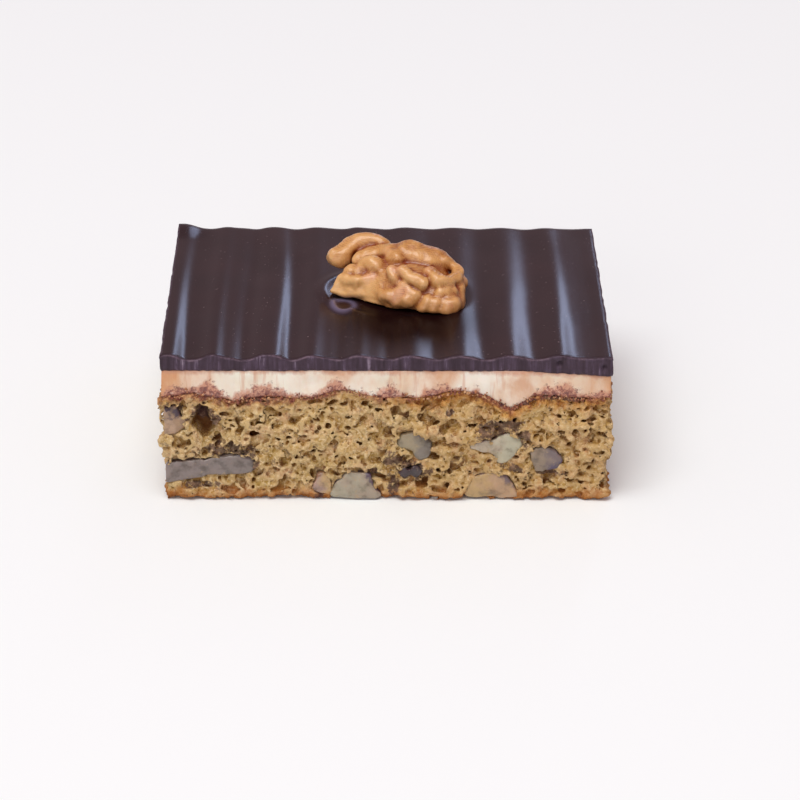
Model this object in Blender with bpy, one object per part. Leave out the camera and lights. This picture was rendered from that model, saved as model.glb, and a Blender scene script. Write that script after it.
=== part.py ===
"""Walnut slice: walnut sponge, a layer of cream, a comb-ridged chocolate lid and half a walnut.

The slice is a rectangle cut from a tray cake. The origin is the middle of its base, +X runs
along the long cut face, +Y to the back and +Z up. Sizes below are in millimetres; the meshes
are scaled to metres as they are made.
"""
import math
import random

import bmesh
import bpy
from mathutils import Matrix, Vector, noise

MM = 0.001

# The cut rectangle and the heights of its three layers.
WIDTH = 95.0
DEPTH = 70.0
SPONGE_TOP = 24.2
CREAM_TOP = 30.5
CHOCOLATE_TOP = 34.0
GAP = 0.3

# Chocolate lid: comb ridges run from front to back.
RIDGE_PITCH = 10.5
RIDGE_DEPTH = 0.9
FIRST_TROUGH = -41.8
LID_OVERHANG = 0.35

# Sponge top as the cream lies on it: rises and hollows along the front face.
# Each is (place along the face, height, half width).
SPONGE_RISES = (
    (-41.0, 0.9, 3.5),
    (-32.0, -0.7, 3.0),
    (-9.0, 1.9, 4.5),
    (15.5, 1.6, 5.0),
    (34.5, 0.7, 4.0),
)
NOTCH_PLACE = 26.4
NOTCH_DEPTH = 2.4
NOTCH_HALF_WIDTH = 4.5

# How far the cut sponge stands out at each height: (height, amount).
SIDE_PROFILE = (
    (0.0, -0.9),
    (1.2, 0.5),
    (4.0, -0.7),
    (10.0, 0.1),
    (17.0, 0.7),
    (22.0, 0.2),
    (26.0, 0.0),
)

# Half walnut on top: its place on the lid, its turn and the shallow bed that it sank into.
NUT_PLACE = (3.0, -1.3)
NUT_TURN = math.radians(-13.0)
BED_DEPTH = 0.55
BED_LENGTH = 17.3
BED_BREADTH = 14.2

# Rounded masses under the nut's folds, over its own flat base: (middle, half sizes).
NUT_MASSES = (
    # the low dome
    ((1.6, -0.2, -0.6), (12.4, 8.8, 9.0)),
    # the crown
    ((1.4, 2.2, 5.4), (5.6, 3.8, 6.2)),
    ((5.8, 2.2, 5.0), (5.2, 3.8, 5.6)),
    ((-2.4, 1.8, 8.4), (2.4, 2.4, 2.4)),
    # the front slope and the right-hand foot
    ((3.2, -3.4, 3.2), (6.8, 4.8, 4.5)),
    ((9.6, -3.8, -0.2), (6.2, 5.2, 5.2)),
    # under the upper wing
    ((-7.0, 4.2, 4.0), (4.6, 4.2, 4.6)),
)

# The lower wing is a squarish block that leans back, with its left end on a slant.
BLOCK_PLACE = (-8.0, -3.8, 1.9)
BLOCK_HALF_SIZES = (5.8, 2.6, 2.4)
BLOCK_ROUNDING = 0.9
BLOCK_TURN = math.radians(-7.0)
BLOCK_LEAN = math.radians(26.0)
BLOCK_SLANT = 0.35

# The nut's folds over its own flat base: (radius at each end, middle line from end to end).
NUT_FOLDS = (
    # upper wing, a fat finger along the back of the cleft
    (2.6, 1.6, ((-14.3, 2.6, 6.1), (-12.8, 4.6, 7.4), (-10.4, 5.7, 8.4), (-7.4, 6.0, 8.9), (-4.8, 5.4, 8.5))),
    # folds inside the cleft
    (1.9, 1.8, ((-9.2, 1.4, 6.1), (-7.0, 1.9, 7.2), (-4.4, 2.5, 8.2))),
    (1.7, 2.0, ((-7.4, -2.0, 6.9), (-6.0, -2.2, 7.1), (-4.8, -2.6, 6.7))),
    # upper edge of the lower wing
    (1.8, 1.7, ((-10.2, -2.4, 4.9), (-8.4, -3.0, 5.0))),
    (0.9, 0.9, ((-10.8, -5.0, 4.1), (-8.0, -5.2, 4.3), (-5.0, -4.8, 4.5))),
    # knob and kidney-shaped fold on the front slope
    (1.1, 1.3, ((-0.5, -5.4, 7.6), (0.1, -6.4, 6.4))),
    (1.3, 1.5, ((2.2, -5.6, 7.8), (4.4, -6.9, 6.9), (6.6, -7.2, 6.1))),
    # broad lobes of the crown
    (1.6, 1.7, ((-1.6, -0.6, 8.6), (-0.2, -1.2, 8.6))),
    (2.3, 2.0, ((0.9, 0.8, 8.7), (3.6, 0.6, 8.4), (6.2, 0.4, 7.5))),
    (1.7, 1.6, ((8.4, 3.6, 7.4), (10.0, 3.4, 6.4))),
    # curl round the pit at the right-hand end
    (1.8, 1.6, ((7.6, -3.9, 6.7), (9.4, -4.9, 6.1), (11.5, -4.3, 5.2), (13.0, -1.6, 5.0))),
    (1.5, 1.2, ((13.0, -1.0, 5.3), (12.8, 1.2, 6.2), (11.2, 2.0, 6.9), (9.8, 1.4, 7.8))),
    # lumps along the front foot
    (1.6, 1.5, ((-1.6, -7.6, 2.0), (-0.6, -8.2, 2.6))),
    (1.5, 1.2, ((1.2, -8.2, 1.6), (1.6, -8.0, 3.6))),
    (2.1, 1.9, ((3.8, -8.2, 2.2), (4.6, -8.0, 3.0))),
    (1.5, 1.5, ((7.2, -8.6, 1.0), (7.8, -8.2, 2.2))),
    (1.5, 1.4, ((9.7, -8.5, 0.9), (10.0, -8.3, 1.9))),
    (2.0, 1.9, ((12.3, -7.6, 1.0), (13.4, -6.8, 1.3))),
    (1.2, 1.3, ((10.6, -6.6, 3.7), (13.0, -4.9, 3.5))),
    (1.5, 1.4, ((14.3, -3.6, 1.6), (14.0, -2.4, 3.2))),
    # folds down the back
    (1.6, 1.7, ((-1.6, 6.2, 7.2), (-3.6, 7.8, 5.2))),
    (1.7, 1.8, ((1.8, 5.8, 8.0), (4.0, 7.4, 6.0))),
    (1.6, 1.6, ((7.6, 6.0, 6.0), (10.4, 5.2, 4.6))),
    # lumps along the back foot
    (1.9, 2.0, ((-11.0, 5.4, 3.8), (-8.4, 7.0, 3.4))),
    (1.9, 1.8, ((-5.6, 8.0, 4.4), (-2.8, 8.6, 3.2))),
    (1.8, 1.9, ((0.2, 8.2, 5.2), (2.6, 8.8, 3.2))),
    (1.8, 1.8, ((5.6, 7.8, 4.6), (8.2, 7.2, 3.0))),
    (1.7, 1.8, ((10.8, 5.4, 3.4), (13.0, 3.0, 2.4))),
)


# Cut walnut pieces in the front face: (place along it, height, length, breadth, tilt in degrees).
FRONT_PIECES = (
    (-38.4, 7.3, 19.6, 5.0, 6.0),
    (-46.0, 18.8, 7.0, 6.4, 0.0),
    (-6.6, 3.2, 10.2, 6.4, 8.0),
    (-13.8, 3.5, 5.0, 4.8, 0.0),
    (6.4, 12.6, 7.6, 6.2, -12.0),
    (5.3, 6.6, 5.2, 3.0, -8.0),
    (23.6, 12.6, 12.2, 5.6, 14.0),
    (34.4, 9.8, 7.2, 5.6, -26.0),
    (22.6, 3.3, 12.0, 5.8, -8.0),
)
HIDDEN_PIECES = (("back", 6), ("left", 3), ("right", 3))
CAVITY = (-38.9, 18.6, 5.0, 7.6, 18.0)
PORES = (("front", 12), ("back", 8), ("left", 4), ("right", 4))

# How finely each piece is drawn.
STATION = 3.0
SPONGE_ROWS = 8
CREAM_ROWS = 2
LID_COLUMNS = 54
LID_ROWS = 14
FOLD_SIDES = 6
FOLD_STEPS = 2
PIECE_CORNERS = 6


def material(name, red, green, blue, roughness):
    """A Principled material; the colour is given as it looks, 0 to 255."""
    made = bpy.data.materials.new(name)
    made.use_nodes = True
    shader = made.node_tree.nodes["Principled BSDF"]
    linear = [(channel / 255.0) ** 2.2 for channel in (red, green, blue)]
    shader.inputs["Base Color"].default_value = (*linear, 1.0)
    shader.inputs["Roughness"].default_value = roughness
    shader.inputs["Metallic"].default_value = 0.0
    return made


def add_object(name, bm, finish, smooth_below=35.0):
    """Turn a mesh drawn in millimetres into a named object in metres."""
    bmesh.ops.scale(bm, vec=(MM, MM, MM), verts=bm.verts)
    bmesh.ops.recalc_face_normals(bm, faces=bm.faces)
    mesh = bpy.data.meshes.new(name)
    bm.to_mesh(mesh)
    bm.free()
    mesh.materials.append(finish)
    mesh.shade_smooth()
    mesh.set_sharp_from_angle(angle=math.radians(smooth_below))
    made = bpy.data.objects.new(name, mesh)
    bpy.context.scene.collection.objects.link(made)
    return made


def apply_boolean(target, operation, parts):
    """Join or cut the target with a collection of parts, which is then removed."""
    group = bpy.data.collections.new(target.name + "_parts")
    bpy.context.scene.collection.children.link(group)
    for part in parts:
        bpy.context.scene.collection.objects.unlink(part)
        group.objects.link(part)
    boolean = target.modifiers.new("parts", "BOOLEAN")
    boolean.operation = operation
    boolean.operand_type = "COLLECTION"
    boolean.collection = group
    boolean.solver = "EXACT"
    depsgraph = bpy.context.evaluated_depsgraph_get()
    result = bpy.data.meshes.new_from_object(target.evaluated_get(depsgraph))
    target.modifiers.clear()
    old = target.data
    target.data = result
    bpy.data.meshes.remove(old)
    for part in parts:
        bpy.data.objects.remove(part)
    bpy.data.collections.remove(group)
    keep_largest_body(target.data)


def keep_largest_body(mesh):
    """Drop the loose scraps and sealed hollows that a join or a cut leaves."""
    bm = bmesh.new()
    bm.from_mesh(mesh)
    waiting = set(bm.verts)
    bodies = []
    while waiting:
        body = set()
        edge_of_body = [waiting.pop()]
        while edge_of_body:
            vert = edge_of_body.pop()
            body.add(vert)
            for edge in vert.link_edges:
                other = edge.other_vert(vert)
                if other in waiting:
                    waiting.remove(other)
                    edge_of_body.append(other)
        bodies.append(body)
    bodies.sort(key=len)
    for body in bodies[:-1]:
        bmesh.ops.delete(bm, geom=list(body), context="VERTS")
    bm.to_mesh(mesh)
    bm.free()


def smooth_step(value):
    """0 below 0, 1 above 1, an even curve between."""
    held = min(1.0, max(0.0, value))
    return held * held * (3.0 - 2.0 * held)


def read_profile(profile, place):
    """Amount at a place in a short (place, amount) profile, curved between its entries."""
    for (start, low), (end, high) in zip(profile, profile[1:]):
        if place <= end:
            return low + (high - low) * smooth_step((place - start) / (end - start))
    return profile[-1][1]


# ---- the layers' shared surfaces ----

def sponge_top(x, y):
    """Height of the sponge under the cream: rises by the front face, gentle waves elsewhere."""
    by_front = math.exp(-(((y + DEPTH / 2) / 12.0) ** 2))
    rises = sum(high * math.exp(-(((x - place) / wide) ** 2)) for place, high, wide in SPONGE_RISES)
    notch = -NOTCH_DEPTH * max(0.0, 1.0 - abs(x - NOTCH_PLACE) / NOTCH_HALF_WIDTH)
    waves = 1.4 * noise.noise(Vector((x / 11.0, y / 11.0, 3.0)))
    return SPONGE_TOP + by_front * (rises + notch) + (1.0 - by_front) * waves


def right_end_droop(x, y):
    """The cream and the underside of the lid sink towards the right-hand end."""
    toward_front = 0.5 + 0.5 * smooth_step(0.5 - y / DEPTH)
    return -1.0 * smooth_step((x - 27.0) / 20.0) * toward_front


def cream_top(x, y):
    """Height of the cream under the lid."""
    return CREAM_TOP + right_end_droop(x, y) + 0.1 * noise.noise(Vector((x / 8.0, y / 8.0, 7.0)))


def lid_top(x, y):
    """Height of the chocolate: comb ridges, fading at the right-hand end, and the nut's bed."""
    drift = 0.8 * noise.noise(Vector((x / 30.0, y / 40.0, 1.0)))
    phase = 2.0 * math.pi * (x + drift - FIRST_TROUGH) / RIDGE_PITCH
    strength = 1.0 - 0.75 * smooth_step((x - 33.0) / 8.0)
    ridge = -0.5 * RIDGE_DEPTH * math.cos(phase) * strength
    along = (x - NUT_PLACE[0]) * math.cos(NUT_TURN) + (y - NUT_PLACE[1]) * math.sin(NUT_TURN)
    across = (y - NUT_PLACE[1]) * math.cos(NUT_TURN) - (x - NUT_PLACE[0]) * math.sin(NUT_TURN)
    reach = math.hypot(along / BED_LENGTH, across / BED_BREADTH)
    in_bed = 1.0 - smooth_step((reach - 0.85) / 0.3)
    open_lid = CHOCOLATE_TOP - 0.25 + ridge
    corner_lip = 0.8 * smooth_step(1.0 - math.hypot(x + WIDTH / 2, y - DEPTH / 2) / 8.0)
    return open_lid * (1.0 - in_bed) + (CHOCOLATE_TOP - BED_DEPTH) * in_bed + corner_lip


def crumb(x, y, z):
    """Relief of the torn crumb on a cut side."""
    broad = noise.noise(Vector((x / 9.0, y / 9.0, z / 7.0)))
    fine = noise.noise(Vector((x / 2.7, y / 2.7, z / 2.3)) + Vector((40.0, 0.0, 0.0)))
    return 0.45 * broad + 0.65 * fine


# ---- layers ----

def stations(step_x, step_y):
    """Places round the cut rectangle, each with its outward direction."""
    across = round(WIDTH / step_x)
    deep = round(DEPTH / step_y)
    walk = [(-0.5 + i / across, -0.5) for i in range(across)]
    walk += [(0.5, -0.5 + i / deep) for i in range(deep)]
    walk += [(0.5 - i / across, 0.5) for i in range(across)]
    walk += [(-0.5, 0.5 - i / deep) for i in range(deep)]
    places = []
    for u, v in walk:
        outward_x = math.copysign(1.0, u) if abs(u) == 0.5 else 0.0
        outward_y = math.copysign(1.0, v) if abs(v) == 0.5 else 0.0
        places.append((u * WIDTH, v * DEPTH, Vector((outward_x, outward_y))))
    return places


def add_ring(bm, places, inset, height, relief):
    """A ring of points round the slice: inset inwards, at a height, with a relief outwards."""
    ring = []
    for x, y, outward in places:
        shrink = 1.0 - inset / (DEPTH / 2)
        level = height(x * shrink, y * shrink)
        stand = relief(x, y, level)
        ring.append(bm.verts.new((x * shrink + outward.x * stand, y * shrink + outward.y * stand, level)))
    return ring


def bridge(bm, lower, upper, lean_back=False):
    """Walls of triangles between two rings, their long sides leaning forwards or back."""
    for i in range(len(lower)):
        j = (i + 1) % len(lower)
        if lean_back:
            bm.faces.new((lower[i], lower[j], upper[i]))
            bm.faces.new((lower[j], upper[j], upper[i]))
        else:
            bm.faces.new((lower[i], lower[j], upper[j]))
            bm.faces.new((lower[i], upper[j], upper[i]))


def no_relief(x, y, z):
    """An even edge."""
    return 0.0


def sponge_side(x, y, z):
    """How far the cut sponge stands out of the rectangle."""
    share = 1.0 if abs(x) > abs(y) * WIDTH / DEPTH else 0.6
    return share * read_profile(SIDE_PROFILE, z) + crumb(x, y, z)


def make_sponge(finish):
    """The sponge: torn sides from a flat base up to the wavy top under the cream."""
    bm = bmesh.new()
    places = stations(STATION, STATION)
    rings = [add_ring(bm, places, 6.0, lambda x, y: 0.0, no_relief)]
    rings.append(add_ring(bm, places, 0.0, lambda x, y: 0.0, sponge_side))
    for row in range(1, SPONGE_ROWS):
        share = row / SPONGE_ROWS
        rings.append(add_ring(bm, places, 0.0, lambda x, y: share * sponge_top(x, y), sponge_side))
    rings.append(add_ring(bm, places, 0.0, sponge_top, lambda x, y, z: 0.2 * crumb(x, y, z)))
    rings.append(add_ring(bm, places, 5.0, sponge_top, no_relief))
    rings.append(add_ring(bm, places, 11.0, lambda x, y: SPONGE_TOP, no_relief))
    for lower, upper in zip(rings, rings[1:]):
        bridge(bm, lower, upper)
    bm.faces.new(list(reversed(rings[0])))
    bm.faces.new(rings[-1])
    return add_object("sponge", bm, finish)


def make_cream(finish):
    """The cream: it fills the sponge's hollows below and lies level under the lid."""
    bm = bmesh.new()
    places = stations(STATION, STATION)

    def under(x, y):
        return sponge_top(x, y) + GAP

    def knife_waves(x, y, z):
        return 0.25 * noise.noise(Vector((x / 6.0, y / 6.0, z / 4.0))) - 0.1

    rings = [add_ring(bm, places, 11.0, lambda x, y: SPONGE_TOP + GAP, no_relief)]
    rings.append(add_ring(bm, places, 5.0, under, no_relief))
    for row in range(CREAM_ROWS + 1):
        share = row / CREAM_ROWS
        rings.append(add_ring(
            bm, places, 0.0, lambda x, y: (1.0 - share) * under(x, y) + share * cream_top(x, y),
            knife_waves))
    rings.append(add_ring(bm, places, 24.0, lambda x, y: CREAM_TOP, no_relief))
    for lower, upper in zip(rings, rings[1:]):
        bridge(bm, lower, upper, lean_back=True)
    bm.faces.new(list(reversed(rings[0])))
    bm.faces.new(rings[-1])
    return add_object("cream", bm, finish)


def lid_edge(x, y, z):
    """The lid's cut edge: it overhangs a little and bulges at the front right corner."""
    to_corner = math.hypot(x - WIDTH / 2, y + DEPTH / 2)
    bulge = 0.5 * smooth_step(1.0 - to_corner / 9.0) * smooth_step((CHOCOLATE_TOP - z) / 3.0)
    return LID_OVERHANG + bulge + 0.18 * noise.noise(Vector((x / 4.0, y / 4.0, z / 3.0)))


def make_lid(finish):
    """The chocolate lid: a ridged top on a flat slab."""
    bm = bmesh.new()
    top = []
    for row in range(LID_ROWS + 1):
        v = row / LID_ROWS - 0.5
        line = []
        for column in range(LID_COLUMNS + 1):
            u = column / LID_COLUMNS - 0.5
            x = u * WIDTH
            y = v * DEPTH
            level = lid_top(x, y)
            stand = lid_edge(x, y, level)
            x += stand * (1.0 if u == 0.5 else -1.0 if u == -0.5 else 0.0)
            y += stand * (1.0 if v == 0.5 else -1.0 if v == -0.5 else 0.0)
            line.append(bm.verts.new((x, y, level)))
        top.append(line)
    for near, far in zip(top, top[1:]):
        for i in range(LID_COLUMNS):
            bm.faces.new((near[i], near[i + 1], far[i + 1], far[i]))
    rim = top[0][:-1]
    rim += [line[-1] for line in top[:-1]]
    rim += list(reversed(top[-1][1:]))
    rim += [line[0] for line in reversed(top[1:])]

    places = stations(WIDTH / LID_COLUMNS, DEPTH / LID_ROWS)

    def under(x, y):
        return cream_top(x, y) + GAP

    rings = [add_ring(bm, places, 24.0, lambda x, y: CREAM_TOP + GAP, no_relief)]
    rings.append(add_ring(bm, places, 0.0, under, lid_edge))
    rings.append(add_ring(bm, places, 0.0, lambda x, y: (under(x, y) + lid_top(x, y)) / 2, lid_edge))
    rings.append(rim)
    for lower, upper in zip(rings, rings[1:]):
        bridge(bm, lower, upper)
    bm.faces.new(list(reversed(rings[0])))
    return add_object("chocolate", bm, finish)


# ---- the half walnut ----

def curve_through(path, share):
    """A point on the smooth curve through a short path."""
    spans = len(path) - 1
    place = min(share * spans, spans - 1e-6)
    i = int(place)
    t = place - i
    before = Vector(path[max(i - 1, 0)])
    start = Vector(path[i])
    end = Vector(path[i + 1])
    after = Vector(path[min(i + 2, spans)])
    turn_in = (end - before) / 2
    turn_out = (after - start) / 2
    return ((2 * t**3 - 3 * t**2 + 1) * start + (t**3 - 2 * t**2 + t) * turn_in
            + (3 * t**2 - 2 * t**3) * end + (t**3 - t**2) * turn_out)


def add_fold(number, start_radius, end_radius, path, finish):
    """One rounded fold of the nut: a tapered tube with domed ends along its path."""
    steps = FOLD_STEPS * (len(path) - 1)
    bm = bmesh.new()
    first = Vector(path[0])
    beyond = (first - Vector(path[1])).normalized()
    centres = [(first + 0.78 * start_radius * beyond, 0.62 * start_radius)]
    for step in range(steps + 1):
        share = step / steps
        centres.append((curve_through(path, share), start_radius + (end_radius - start_radius) * share))
    last = Vector(path[-1])
    beyond = (last - Vector(path[-2])).normalized()
    centres.append((last + 0.78 * end_radius * beyond, 0.62 * end_radius))
    rings = []
    for i, (centre, radius) in enumerate(centres):
        before = centres[max(i - 1, 0)][0]
        after = centres[min(i + 1, len(centres) - 1)][0]
        along = (after - before).normalized()
        across = along.cross(Vector((0.0, 0.0, 1.0)))
        if across.length < 0.1:
            across = Vector((1.0, 0.0, 0.0))
        across.normalize()
        upward = across.cross(along)
        ring = []
        for side in range(FOLD_SIDES):
            angle = 2.0 * math.pi * side / FOLD_SIDES + 0.2 * number
            ring.append(bm.verts.new(centre + radius * (math.cos(angle) * across + math.sin(angle) * upward)))
        rings.append(ring)
    for lower, upper in zip(rings, rings[1:]):
        bridge(bm, lower, upper)
    bm.faces.new(list(reversed(rings[0])))
    bm.faces.new(rings[-1])
    return add_object("fold_%02d" % number, bm, finish)


def add_mass(name, middle, half_sizes, finish):
    """One rounded mass of the nut, an ellipsoid."""
    bm = bmesh.new()
    bmesh.ops.create_uvsphere(bm, u_segments=12, v_segments=8, radius=1.0)
    bmesh.ops.scale(bm, vec=half_sizes, verts=bm.verts)
    bmesh.ops.translate(bm, vec=middle, verts=bm.verts)
    return add_object(name, bm, finish)


def add_block(finish):
    """The lower wing: a block with rounded edges, leaning back, its left end slanting."""
    bm = bmesh.new()
    bmesh.ops.create_cube(bm, size=2.0)
    bmesh.ops.scale(bm, vec=BLOCK_HALF_SIZES, verts=bm.verts)
    bmesh.ops.bevel(bm, geom=bm.edges[:], offset=BLOCK_ROUNDING, segments=2, profile=0.5, affect="EDGES")
    bmesh.ops.rotate(bm, matrix=Matrix.Rotation(-BLOCK_LEAN, 3, "X"), verts=bm.verts)
    for vert in bm.verts:
        vert.co.x += BLOCK_SLANT * vert.co.z
    bmesh.ops.rotate(bm, matrix=Matrix.Rotation(BLOCK_TURN, 3, "Z"), verts=bm.verts)
    bmesh.ops.translate(bm, vec=BLOCK_PLACE, verts=bm.verts)
    return add_object("lower_wing", bm, finish)


def make_walnut_half(finish):
    """The half walnut: folds fused round rounded masses, flat where the nut was split."""
    nut = add_mass("walnut_half", *NUT_MASSES[0], finish)
    parts = [add_mass("mass_%02d" % i, *mass, finish) for i, mass in enumerate(NUT_MASSES[1:])]
    parts.append(add_block(finish))
    parts += [add_fold(i, *fold, finish) for i, fold in enumerate(NUT_FOLDS)]
    apply_boolean(nut, "UNION", parts)
    bm = bmesh.new()
    bm.from_mesh(nut.data)
    edges = bm.verts[:] + bm.edges[:] + bm.faces[:]
    cut = bmesh.ops.bisect_plane(
        bm, geom=edges, plane_co=(0.0, 0.0, 0.0), plane_no=(0.0, 0.0, 1.0), clear_inner=True)
    rim = [item for item in cut["geom_cut"] if isinstance(item, bmesh.types.BMEdge)]
    bmesh.ops.holes_fill(bm, edges=rim, sides=0)
    bmesh.ops.recalc_face_normals(bm, faces=bm.faces)
    bm.to_mesh(nut.data)
    bm.free()
    seat = CHOCOLATE_TOP - BED_DEPTH + GAP
    nut.location = (NUT_PLACE[0] * MM, NUT_PLACE[1] * MM, seat * MM)
    nut.rotation_euler = (0.0, 0.0, NUT_TURN)
    return nut


# ---- walnut pieces, the cavity and the pores in the cut faces ----

# Rings of corners of a nut piece: (how far inwards, size beside the widest ring).
PIECE_RINGS = ((-1.5, 0.97), (1.6, 1.0), (4.6, 0.5))
PIECE_MIDDLE = 1.0

FACES = {
    "front": (0.0, WIDTH, DEPTH / 2),
    "right": (math.pi / 2, DEPTH, WIDTH / 2),
    "back": (math.pi, WIDTH, DEPTH / 2),
    "left": (-math.pi / 2, DEPTH, WIDTH / 2),
}


def piece_points(seed, length, breadth, tilt, room=0.0):
    """Corners of a broken nut piece in its face's frame, x along, y inwards, z up, grown by room."""
    draw = random.Random(seed)
    turn = math.radians(tilt)
    points = []
    for inward, share in PIECE_RINGS:
        for i in range(PIECE_CORNERS):
            angle = 2.0 * math.pi * (i + draw.uniform(-0.2, 0.2)) / PIECE_CORNERS
            reach = share * draw.uniform(0.9, 1.0)
            cosine = math.cos(angle)
            sine = math.sin(angle)
            outward = Vector((cosine / length, sine / breadth)).normalized() * room
            along = reach * length / 2 * math.copysign(abs(cosine) ** 0.7, cosine) + outward.x
            up = reach * breadth / 2 * math.copysign(abs(sine) ** 0.7, sine) + outward.y
            points.append(Vector((
                along * math.cos(turn) - up * math.sin(turn),
                inward + math.copysign(room, inward - PIECE_MIDDLE),
                along * math.sin(turn) + up * math.cos(turn))))
    return points


def add_hull(name, points, finish):
    """A closed faceted body round the points."""
    bm = bmesh.new()
    for point in points:
        bm.verts.new(point)
    hull = bmesh.ops.convex_hull(bm, input=bm.verts)
    spare = [item for item in hull["geom_interior"] if isinstance(item, bmesh.types.BMVert)]
    bmesh.ops.delete(bm, geom=spare, context="VERTS")
    return add_object(name, bm, finish, 50.0)


def put_on_face(made, face, along, height):
    """Place an object drawn in its face's frame."""
    turn, _, distance = FACES[face]
    spot = Vector((math.cos(turn) * along + math.sin(turn) * distance,
                   math.sin(turn) * along - math.cos(turn) * distance, height))
    made.location = spot * MM
    made.rotation_euler = (0.0, 0.0, turn)


def trim(made, spot, outward):
    """Cut an object off flat at a plane, both given in metres and in the slice's frame."""
    bpy.context.view_layer.update()
    to_local = made.matrix_world.inverted()
    normal = to_local.to_3x3() @ Vector(outward)
    bm = bmesh.new()
    bm.from_mesh(made.data)
    cut = bmesh.ops.bisect_plane(
        bm, geom=bm.verts[:] + bm.edges[:] + bm.faces[:],
        plane_co=to_local @ Vector(spot), plane_no=normal, clear_outer=True)
    rim = [item for item in cut["geom_cut"] if isinstance(item, bmesh.types.BMEdge)]
    if rim:
        bmesh.ops.holes_fill(bm, edges=rim, sides=0)
    bm.to_mesh(made.data)
    bm.free()


def all_pieces():
    """Every walnut piece as (face, along, height, length, breadth, tilt)."""
    pieces = [("front", *piece) for piece in FRONT_PIECES]
    draw = random.Random(12)
    for face, count in HIDDEN_PIECES:
        length = FACES[face][1]
        for i in range(count):
            along = length * ((i + 0.5) / count - 0.5) + draw.uniform(-3.0, 3.0)
            height = (5.0, 17.0, 10.0)[i % 3] + draw.uniform(-1.0, 1.0)
            pieces.append((face, along, height, draw.uniform(6.0, 11.0), draw.uniform(4.5, 6.5),
                           draw.uniform(-30.0, 30.0)))
    return pieces


def make_pieces(finish):
    """The cut walnut pieces, and a cutter for the socket of each."""
    made = []
    cutters = []
    half_width = WIDTH / 2 * MM
    for number, (face, along, height, length, breadth, tilt) in enumerate(all_pieces()):
        points = piece_points(number + 1, length, breadth, tilt)
        piece = add_hull("walnut_piece_%02d" % (number + 1), points, finish)
        socket = piece_points(number + 1, length, breadth, tilt, 2.0 * GAP)
        cutter = add_hull("socket_%02d" % (number + 1), socket, finish)
        for item in (piece, cutter):
            put_on_face(item, face, along, height)
        turn, _, distance = FACES[face]
        outward = (math.sin(turn), -math.cos(turn), 0.0)
        spot = (outward[0] * distance * MM, outward[1] * distance * MM, 0.0)
        trim(piece, spot, outward)
        trim(piece, (0.0, 0.0, 0.2 * MM), (0.0, 0.0, -1.0))
        trim(piece, (-half_width, 0.0, 0.0), (-1.0, 0.0, 0.0))
        made.append(piece)
        cutters.append(cutter)
    return made, cutters


def add_pores(finish):
    """Cutters for the larger pores of the crumb, clear of the walnut pieces."""
    draw = random.Random(31)
    taken = [(face, along, height, max(length, breadth) / 2, breadth / 2)
             for face, along, height, length, breadth, _ in all_pieces()]
    taken.append(("front", CAVITY[0], CAVITY[1], CAVITY[2] / 2, CAVITY[3] / 2))
    cutters = []
    for face, count in PORES:
        length = FACES[face][1]
        placed = 0
        while placed < count:
            along = draw.uniform(-0.46, 0.46) * length
            height = draw.uniform(4.0, 20.0)
            radius = draw.uniform(0.7, 1.5)
            clear = all(
                other != face or abs(along - x) > wide + radius + 1.2 or abs(height - z) > high + radius + 1.2
                for other, x, z, wide, high in taken)
            if not clear:
                continue
            bm = bmesh.new()
            bmesh.ops.create_icosphere(bm, subdivisions=1, radius=radius)
            bmesh.ops.scale(bm, vec=(1.0, 0.9, draw.uniform(0.6, 1.0)), verts=bm.verts)
            pore = add_object("pore_%s_%02d" % (face, placed), bm, finish)
            put_on_face(pore, face, along, height)
            taken.append((face, along, height, radius, radius))
            cutters.append(pore)
            placed += 1
    return cutters


def add_cavity(finish):
    """Cutter for the deep hollow left of the middle in the front face."""
    along, height, length, breadth, tilt = CAVITY
    points = piece_points(77, length, breadth, tilt)
    points += [point + Vector((0.0, -2.0, 0.0)) for point in points[:PIECE_CORNERS]]
    cutter = add_hull("cavity", points, finish)
    put_on_face(cutter, "front", along, height)
    return cutter


def build():
    """Make the whole slice under one empty."""
    for old in list(bpy.data.objects):
        bpy.data.objects.remove(old)
    crumb_finish = material("sponge_crumb", 172, 138, 92, 0.85)
    cream_finish = material("cream", 224, 200, 180, 0.5)
    chocolate_finish = material("dark_chocolate", 66, 48, 52, 0.3)
    nut_finish = material("walnut", 192, 140, 98, 0.55)
    cut_nut_finish = material("cut_walnut", 160, 140, 122, 0.6)

    slice_root = bpy.data.objects.new("walnut_slice", None)
    bpy.context.scene.collection.objects.link(slice_root)
    sponge = make_sponge(crumb_finish)
    pieces, cutters = make_pieces(cut_nut_finish)
    apply_boolean(sponge, "DIFFERENCE", cutters + add_pores(crumb_finish) + [add_cavity(crumb_finish)])
    layers = [sponge, make_cream(cream_finish), make_lid(chocolate_finish)]
    for made in layers + [make_walnut_half(nut_finish)] + pieces:
        made.parent = slice_root


build()
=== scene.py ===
import math

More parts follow.
